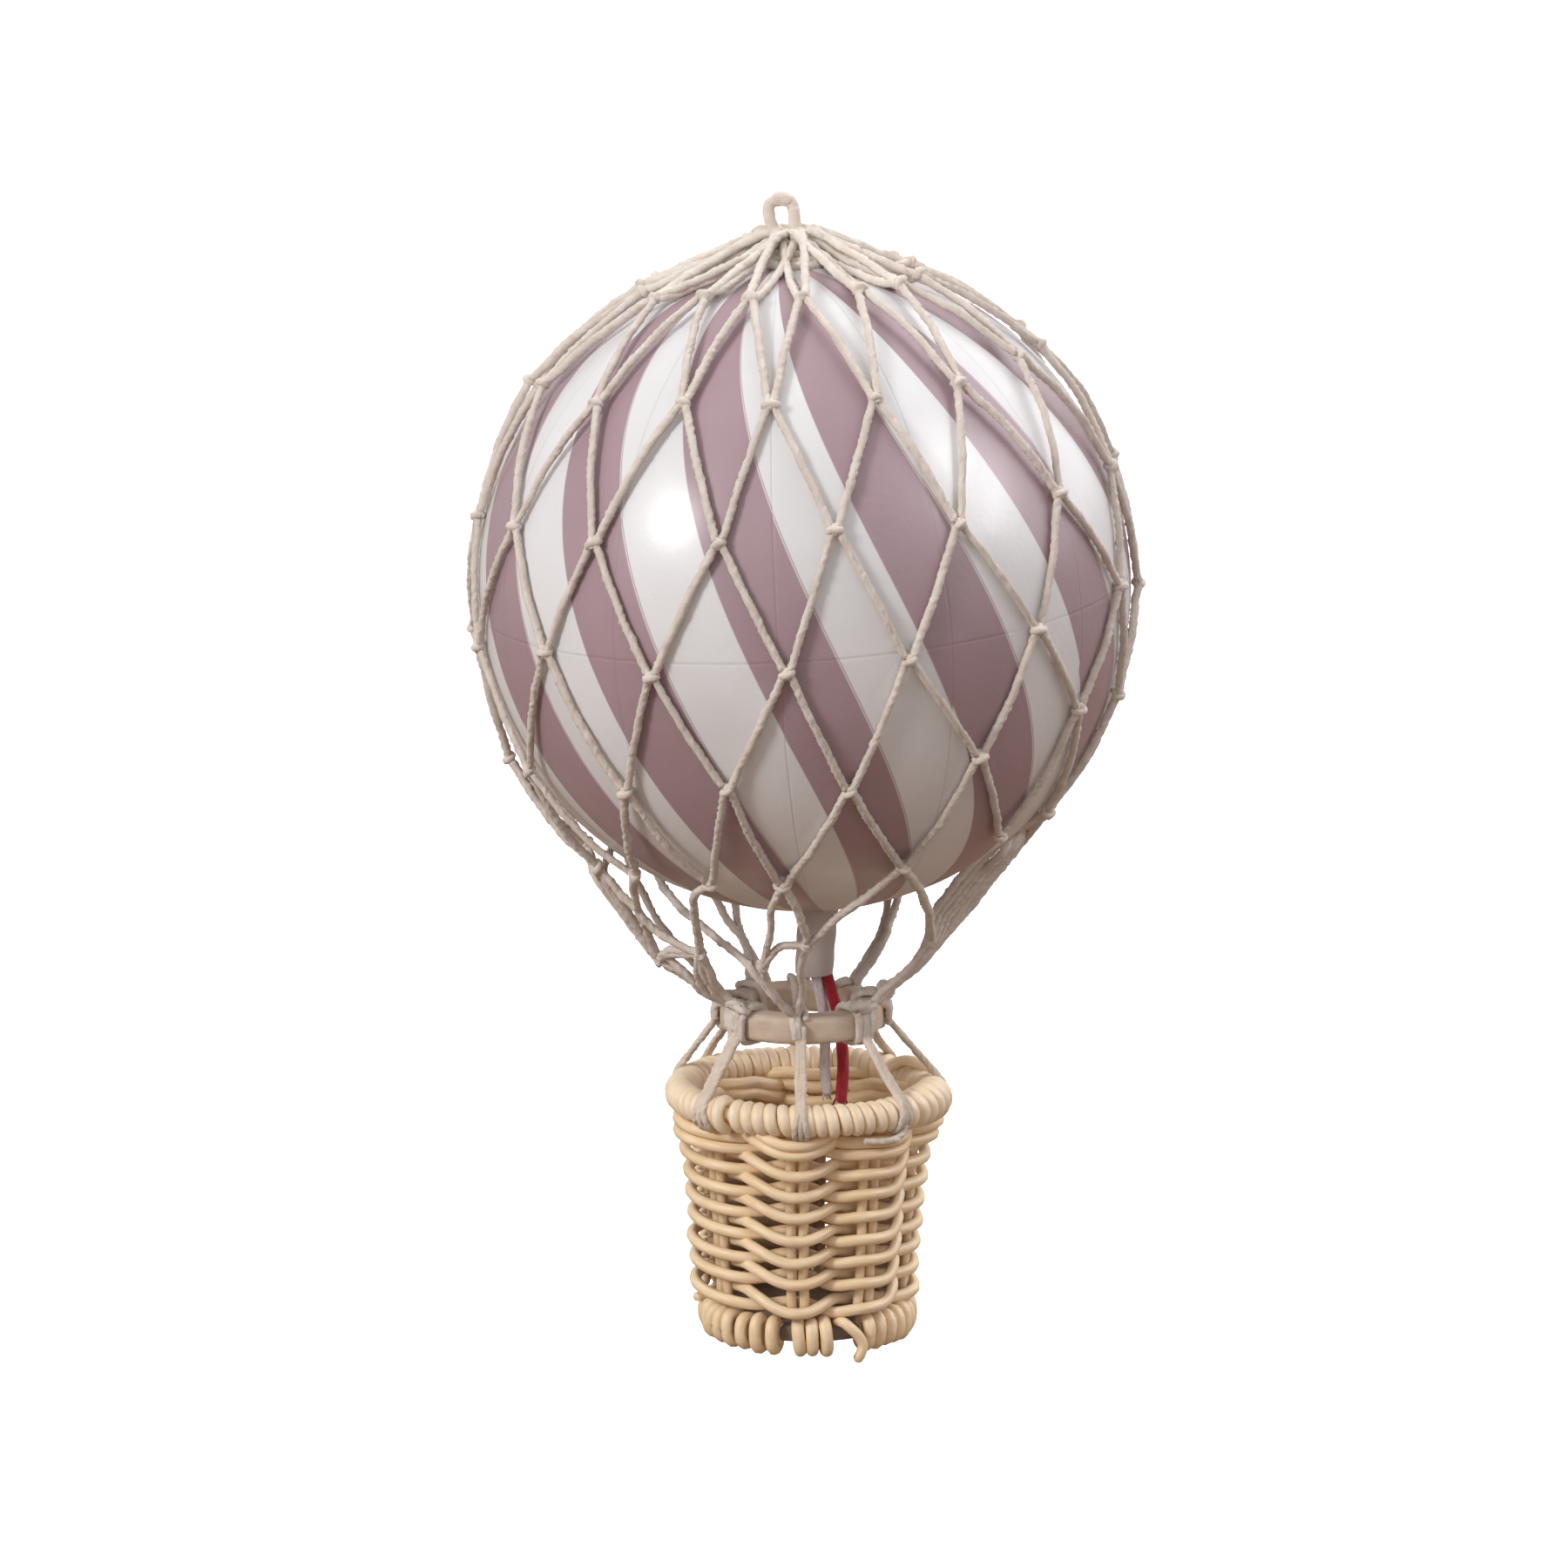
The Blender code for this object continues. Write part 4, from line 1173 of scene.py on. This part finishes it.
def cane_finish(name, pale, warm, dark):
    cane = Finish(name, Coat_Weight=0.25, Coat_Roughness=0.3, Specular_IOR_Level=0.45)
    streak = cane.noise(cane.along(), 5.0, 3.0, (0.06, 2.2, 1.0))
    place = cane.place()
    cloud = cane.noise(place, 120.0, 3.0)
    tone = cane.blend((streak * 0.7 + cloud * 0.5).above(0.6, 0.25), warm, pale)
    tone = cane.blend(cloud.above(0.66, 0.1) * 0.35, tone, dark)
    flat = cane.vector("MULTIPLY", cane.vector("SUBTRACT", place, (RIM[0] * MM, 0, 0)), (1, 1, 0))
    outward = cane.vector("DOT_PRODUCT", flat, cane.place("Normal"), "Value")
    # painted shade: cane that faces the axis low in the basket is darkened, for the shade inside it
    inside = (outward / (-WALL * MM)).above(0.2, 0.5) * (-cane.split(place, 2) / MM).above(PAINTED_SHADE_TOP, 6.0)
    cane.wear(Base_Color=cane.blend(inside * 0.75, tone, PAINTED_INSIDE_SHADE), Roughness=streak * 0.25 + 0.36)
    cane.bump(streak * 0.7 + cloud * 0.5, 0.12, 0.4)
    return cane


cane = cane_finish("rattan_cane", (0.96, 0.775, 0.52), (0.82, 0.585, 0.335), (0.60, 0.40, 0.21))
# A paler copy of the cane for the rim: painted light, for the light that the rim catches from above and the front.
rim_cane_painted_light = cane_finish("rim_cane_painted_light", (0.96, 0.81, 0.60), (0.88, 0.69, 0.46), (0.68, 0.49, 0.30))
print("cane is ready")

# %% [markdown]
# ### The wrapped rim
#
# The basket's border is a hoop wound with one long flat cane, 68 turns, each pressed against the next.
# The cane's flat side lies on the hoop, so the strand is squeezed along the direction that points away
# from the hoop's middle. At the left the turns are finer and crowd together. At the right they are loose and
# stand up, and behind them the end of the cane is tucked across.

# %% Rim
RIM_TURNS = 68
CORE_RADIUS, ROUND_CORE = 0.95, 0.72            # the hoop, and from its skin to the middle of the cane round it
FIRST_TURN, TURNS_SPAN = -40, 357
LOOSE_FROM, LOOSE_REACH, LOOSE_LIFT, LOOSE_SWELL = 60.0, 19, 0.45, 0.27
FINE_AT, FINE_REACH, FINE_LIFT, FINE_THIN = 272, 30, 0.12, 0.15
SHIFTED, CROWD_REACH, PART_REACH = 5, 22, 16    # degrees that turns move, to crowd at the left and part at the right
PHASE = 4.3                                     # where the cane's end hides inside
TUCK = ((104, 0.4, 1.8), (109, 0.9, 2.9), (116, 1.5, 3.4), (124, 1.9, 3.4), (130, 2.5, 3.0), (134, 3.3, 1.9))


def hoop_point(azimuth, angle, away):
    """A point round the rim's hoop, and the direction that points away from the hoop."""
    out = polar(math.cos(angle), azimuth, math.sin(angle))
    return hoop_middle(azimuth) + out * away, out


def make_rim():
    rim = Skein(111, sides=10, step=0.62)
    turns = np.arange(0, RIM_TURNS, 1 / 22)
    jitter = rim.chance.normal(0, 0.08, RIM_TURNS + 1)
    slid = np.interp(turns, np.arange(RIM_TURNS + 1), jitter)
    azimuth = (turns + slid) / RIM_TURNS * TURNS_SPAN + FIRST_TURN
    loose = np.exp(-((azimuth - LOOSE_FROM) / LOOSE_REACH) ** 2)
    crowded, parted = np.tanh((azimuth - FINE_AT) / CROWD_REACH), 1 + np.tanh((azimuth - LOOSE_FROM) / PART_REACH)
    azimuth = azimuth - SHIFTED * crowded + SHIFTED * parted
    lift = rim.chance.normal(0, 0.06, RIM_TURNS + 1)
    fine = np.exp(-((azimuth - FINE_AT) / FINE_REACH) ** 2)
    away = CORE_RADIUS + ROUND_CORE + np.interp(turns, np.arange(RIM_TURNS + 1), lift)
    away += LOOSE_LIFT * loose + FINE_LIFT * fine + 0.5 * np.exp(-((turns - RIM_TURNS) / 0.8) ** 2)
    line, out = zip(*(hoop_point(a, PHASE - 2 * math.pi * t, r) for a, t, r in zip(azimuth, turns, away)))
    rim.strand(line, 0.99 + LOOSE_SWELL * loose - FINE_THIN * fine, flat=0.95, out=out)
    rim.bent([hoop_point(*place)[0] for place in TUCK], 0.95)
    core = [hoop_middle(a) for a in np.linspace(0, 360, 120, endpoint=False)]
    rim.strand(core + core[:1], CORE_RADIUS + 0.2, closed=True)
    return rim.make("wrapped_rim", rim_cane_painted_light, "basket", ("basket_rim",))


make_rim()
print("the rim has", triangles["wrapped_rim"], "triangles")

# %% [markdown]
# ### Stakes
#
# The uprights go in pairs: one cane comes down from the rim, bends round and goes up again beside itself.
# Eight such pairs stand round the basket, a little closer together at the foot.

# %% Stakes
STAKE_GROUPS, FIRST_STAKE = 8, -6.0
STAKE_SLIPS = {1: -4.0, 4: 1.0, 6: -12.0, 7: -9.0}       # degrees from the even places
HALF_PITCH = 0.97                                        # half the way between a pair's two canes
PUSHED_TOGETHER = {4: 0.68}
WALL_TOP, WALL_FOOT = (16.6, -143.0), (14.7, -170.6)     # radius and height
STAKE_HEAD = ((17.4, -139.6), (17.0, -140.9), WALL_TOP)


def wall_radius(height):
    share = (height - WALL_FOOT[1]) / (WALL_TOP[1] - WALL_FOOT[1])
    return WALL_FOOT[0] + (WALL_TOP[0] - WALL_FOOT[0]) * share


def make_stake(index):
    azimuth = FIRST_STAKE + index * 360 / STAKE_GROUPS + STAKE_SLIPS.get(index, 0.0)
    stake = Skein(130 + index, sides=10, step=0.7)
    out = polar(1, azimuth, 0)
    along = np.array((-out[1], out[0], 0.0))
    half = PUSHED_TOGETHER.get(index, HALF_PITCH)
    bend = WALL_FOOT[1] + 0.8 + half
    side = [(half, *place) for place in STAKE_HEAD]
    side += [(half * wider, wall_radius(height), height)
             for wider, height in ((1.08, -152.0), (0.92, -162.0), (1, bend))]
    curve = [(half * math.cos(a), wall_radius(bend), bend - half * math.sin(a))
             for a in np.radians((30, 60, 90, 120, 150))]
    other = [(-offset, radius, height) for offset, radius, height in reversed(side)]
    line = [np.array((RIM[0], 0, 0)) + out * radius + along * offset + np.array((0, 0, height))
            for offset, radius, height in side + curve + other]
    stake.bent(line, 0.8, 5, wander=0.07)
    stake.make("cane_stake_%d" % (index + 1), cane, "basket", ("basket_stake_%d" % (index + 1),))


for index in range(STAKE_GROUPS):
    make_stake(index)
print(STAKE_GROUPS, "pairs of stakes")

# %% [markdown]
# ### Weavers
#
# Two canes wind down the stakes together. Where one passes outside a stake, the other passes inside,
# and between two stakes they cross. A cosine in step with the stakes swings each cane out and in,
# and the crossing lifts one over the other by a cane's thickness.

# %% Weavers
FIRST_ROW, ROW_PITCH, LAST_ROW = -143.0, 3.55, -169.6
SWING, CROSS = 2.1, 0.8
FRONT_DIP, BACK_DIP = 0.4, 0.86
WEAVER_START, WEAVER_END = -620.0, 280.0 + 7 * 360
SQUEEZE = 0.48
VALLEY, LEFT_EDGE, FRONT_LEFT, RIGHT_HOOK = 16.5, 286.5, 331.5, 61.5     # azimuths of the crossings that differ
SLACK, DROP = 0.16, 0.11                        # how unevenly the canes are drawn in and down
FLARE, FLARE_Z, FLARE_REACH = 1.7, -142.0, 4.5  # the canes stand out under the rim
DIP_ROW, DIP_DOWN, DIP_REACH = 7, 1.1, 48       # the last row dips at the front


def drawn_back(azimuth):
    """At the left edge the canes cross further back than the stakes would have it."""
    from_edge = (azimuth + 76 + 180) % 360 - 180
    return azimuth - 24 * math.exp(-(from_edge / 30) ** 2)


def weaver_line(strand, chance):
    pitch = 360 / STAKE_GROUPS
    first, last = (WEAVER_START - FIRST_STAKE) / pitch, (WEAVER_END - FIRST_STAKE) / pitch
    knots = np.arange(math.floor(first) - 1, math.ceil(last) + 2)
    slack, drop = (chance.normal(0, amount, len(knots)) for amount in (SLACK, DROP))
    line = []
    for place in np.arange(first, last, 1 / 14):
        outside = math.cos(math.pi * (place + strand))
        azimuth = FIRST_STAKE + place * pitch
        gap = math.floor(place)
        going_in = (gap + strand) % 2 == 0
        crossing = (FIRST_STAKE + (gap + 0.5) * pitch) % 360
        in_front = going_in == (crossing < 180)
        bump, side = math.sin(math.pi * place) ** 2, 1 if in_front else -1
        radial = rise = CROSS * bump * side
        if crossing == VALLEY:
            radial, rise = -0.7 * bump, 0.95 * side * bump ** 2
        elif crossing == LEFT_EDGE:
            radial, rise = 0.95 * side * bump, -0.2 * side * bump
        elif crossing == FRONT_LEFT and in_front:
            rise = 1.5 * bump
        elif crossing == RIGHT_HOOK and in_front:
            rise = 2.0 * bump ** 3
        rows = azimuth / 360
        dip = FRONT_DIP + (BACK_DIP - FRONT_DIP) * (0.5 - 0.5 * math.cos(math.radians(azimuth)))
        height = FIRST_ROW - ROW_PITCH * (rows if rows > 0 else rows * SQUEEZE)
        height = max(height - DIP_DOWN * math.exp(-((rows - DIP_ROW) * 360 / DIP_REACH) ** 2), LAST_ROW)
        swing = SWING * np.sign(outside) * abs(outside) ** 0.85
        swing += FLARE * math.exp(-((height - FLARE_Z) / FLARE_REACH) ** 2) * max(outside, 0)
        radius = wall_radius(height) + swing + radial + np.interp(place, knots, slack) * (0.5 + 0.5 * outside)
        line.append(polar(radius, drawn_back(azimuth), height - dip * outside + rise + np.interp(place, knots, drop),
                          RIM[0] - 0.35 - 0.3 * min(-(height - FIRST_ROW) / 20, 1)))
    return np.array(line)


def make_weaver(strand):
    weaver = Skein(150 + strand, sides=10, step=0.8)
    line = weaver_line(strand, weaver.chance)
    weaver.strand(line, 0.94 + 0.04 * unit(line * (1, 1, 0))[:, 1])
    weaver.make("cane_weaver_%d" % (strand + 1), cane, "basket", ("basket_weaver_%d" % (strand + 1),))


for strand in (0, 1):
    make_weaver(strand)
print("the weavers have", triangles["cane_weaver_1"] + triangles["cane_weaver_2"], "triangles")

# %% [markdown]
# ### The base
#
# The floor of the basket is a disc of grey brown board. Cane goes over its edge in separate loops, side by side,
# with gaps where the board shows, and one end has come loose and hangs out at the front right.

# %% Board and its wrapping
board_finish = Finish("grey_board", Roughness=0.85)
board_finish.mottle(board_finish.noise(board_finish.place(), 300.0, 4.0), 0.3, (0.30, 0.235, 0.18),
                    (0.20, 0.155, 0.12), 0.2, 0.5)
BOARD_TOP, BOARD_FOOT, BOARD_RADIUS = BOARD[2] + board_half[2], BOARD[2] - board_half[2], board_half[0]
BEVEL = 0.3
board_edge = [(0.0, BOARD_TOP), (BOARD_RADIUS - BEVEL, BOARD_TOP), (BOARD_RADIUS, BOARD_TOP - BEVEL),
              (BOARD_RADIUS, BOARD_FOOT + BEVEL), (BOARD_RADIUS - BEVEL, BOARD_FOOT), (0.0, BOARD_FOOT)]
turned("base_board", board_edge, 72, board_finish, "board", "basket", ("basket_base",), (RIM[0], 0.0), closed=False)

print("the board is", round(2 * BOARD_RADIUS, 1), "mm across")

# %% Cane round the board's edge
LOOPS = (-69, -60, -50.5, -40, -30.2, -20.4, -5.1, 2.4, 10.3, 36, 44, 52, 60.5, 69, *range(77, 291, 8))
LOOP_RADIUS, LOOP_Z, LOOP_WIDE, LOOP_TALL = 14.75, -173.5, 1.4, 2.2
CANE_ENDS = (           # radius of the cane, and its places as radius, azimuth and height
    (0.85, ((13.5, 18, -171.6), (15.6, 20, -171.2), (16.6, 23, -171.9), (17.0, 27, -173.2), (17.2, 29.5, -174.8),
            (17.1, 28, -176.4), (16.6, 26, -177.4))),
    (0.8, ((15.0, -85, -171.0), (17.0, -84, -170.8), (18.0, -83, -170.9))),
)


def make_base_wrap():
    wrap = Skein(170, sides=10, step=0.6)
    for azimuth in LOOPS:
        drawn = wrap.chance.normal(0, 1, 3)
        line = []
        for turn in np.linspace(0, 2 * math.pi, 20, endpoint=False):
            c, s = math.cos(turn), math.sin(turn)
            scale = (abs(c) ** 2.6 + abs(s) ** 2.6) ** (-1 / 2.6)
            line.append(polar(LOOP_RADIUS + (LOOP_WIDE + 0.07 * drawn[0]) * c * scale, azimuth + drawn[1] * s,
                              LOOP_Z + (LOOP_TALL + 0.12 * drawn[2]) * s * scale, RIM[0]))
        wrap.strand(line + line[:1], 1.02, closed=True)
    for radius, places in CANE_ENDS:
        wrap.bent([polar(*place, RIM[0]) for place in places], radius)
    return wrap.make("base_cane_loops", cane, "basket", ("base_wrap",))


make_base_wrap()
print("the base's loops have", triangles["base_cane_loops"], "triangles")

# %% [markdown]
# ## The two ribbons
#
# A white and a red ribbon of soft floss hang out of the neck, through the ring, and end in the basket's opening
# as frayed tips. They are free cords, so the scene says how long they are, where they leave the ball and
# how they hang. Each is a bundle with a furrowed surface, and a few loose threads make the frayed end.

# %% Ribbons
# Each place is given by x and height.
WHITE_ROUTE = ((4.8, -108.8), (4.75, -113.0), (4.9, -117.5), (5.7, -121.5), (6.5, -126.0), (6.7, -130.0),
               (6.7, -134.5), (7.2, -138.9))
RED_ROUTE = ((6.6, -108.8), (6.5, -113.0), (6.55, -117.5), (7.5, -121.5), (8.7, -126.0), (9.3, -130.0),
             (9.5, -135.0), (9.2, -140.3))
RIBBON, THREAD, THREADS = 0.7, 0.16, 9


def floss_finish(name, bright, dim):
    floss = Finish(name, Roughness=0.75, Sheen_Weight=0.3, Specular_IOR_Level=0.3)
    return floss.mottle(floss.noise(floss.along(), 6.0, 3.0, (0.12, 5.0, 1.0)), 0.2, dim, bright, 0.2, 0.8)


def make_ribbon(name, route, finish, node, seed, fluff):
    ribbon = Skein(seed, sides=18, plies=5, lay_mm=40.0, groove=0.16, step=0.4)
    line = smooth_line([(x, 0.0, z) for x, z in route])
    ribbon.strand(line, RIBBON * fluff)
    piece = ribbon.make(name, finish, "balloon", (node,))
    threads = Skein(seed + 1, sides=5, step=0.5)
    end, way = line[-1], unit(line[-1] - line[-12])
    for thread in range(THREADS):
        push = threads.chance.normal(0, 1, (3, 3)) * ((0.25,), (0.35,), (0.55,))
        start = end - way * 1.6 + push[0]
        tip = end + way * threads.chance.uniform(0.1, 0.9) + push[2]
        threads.bent([start, (start + tip) / 2 + push[1] * 0.4, tip], THREAD)
    frayed = threads.make(name + "_threads", finish, "balloon")


white_floss = floss_finish("white_floss", (0.84, 0.80, 0.84), (0.62, 0.55, 0.58))
red_floss = floss_finish("red_floss", (0.52, 0.016, 0.035), (0.27, 0.012, 0.025))
make_ribbon("white_floss", WHITE_ROUTE, white_floss, "ribbon_white", 200, 1.22)
make_ribbon("red_floss", RED_ROUTE, red_floss, "ribbon_red", 210, 1.38)

# %% [markdown]
# ## Triangles, and the end
#
# The last cell prints how many triangles there are in all, and the most in one piece. The dressed toy has to
# keep to the solids' box.

# %% Count the triangles
print("triangles in all:", sum(triangles.values()), "most in one piece:", max(triangles.values()))
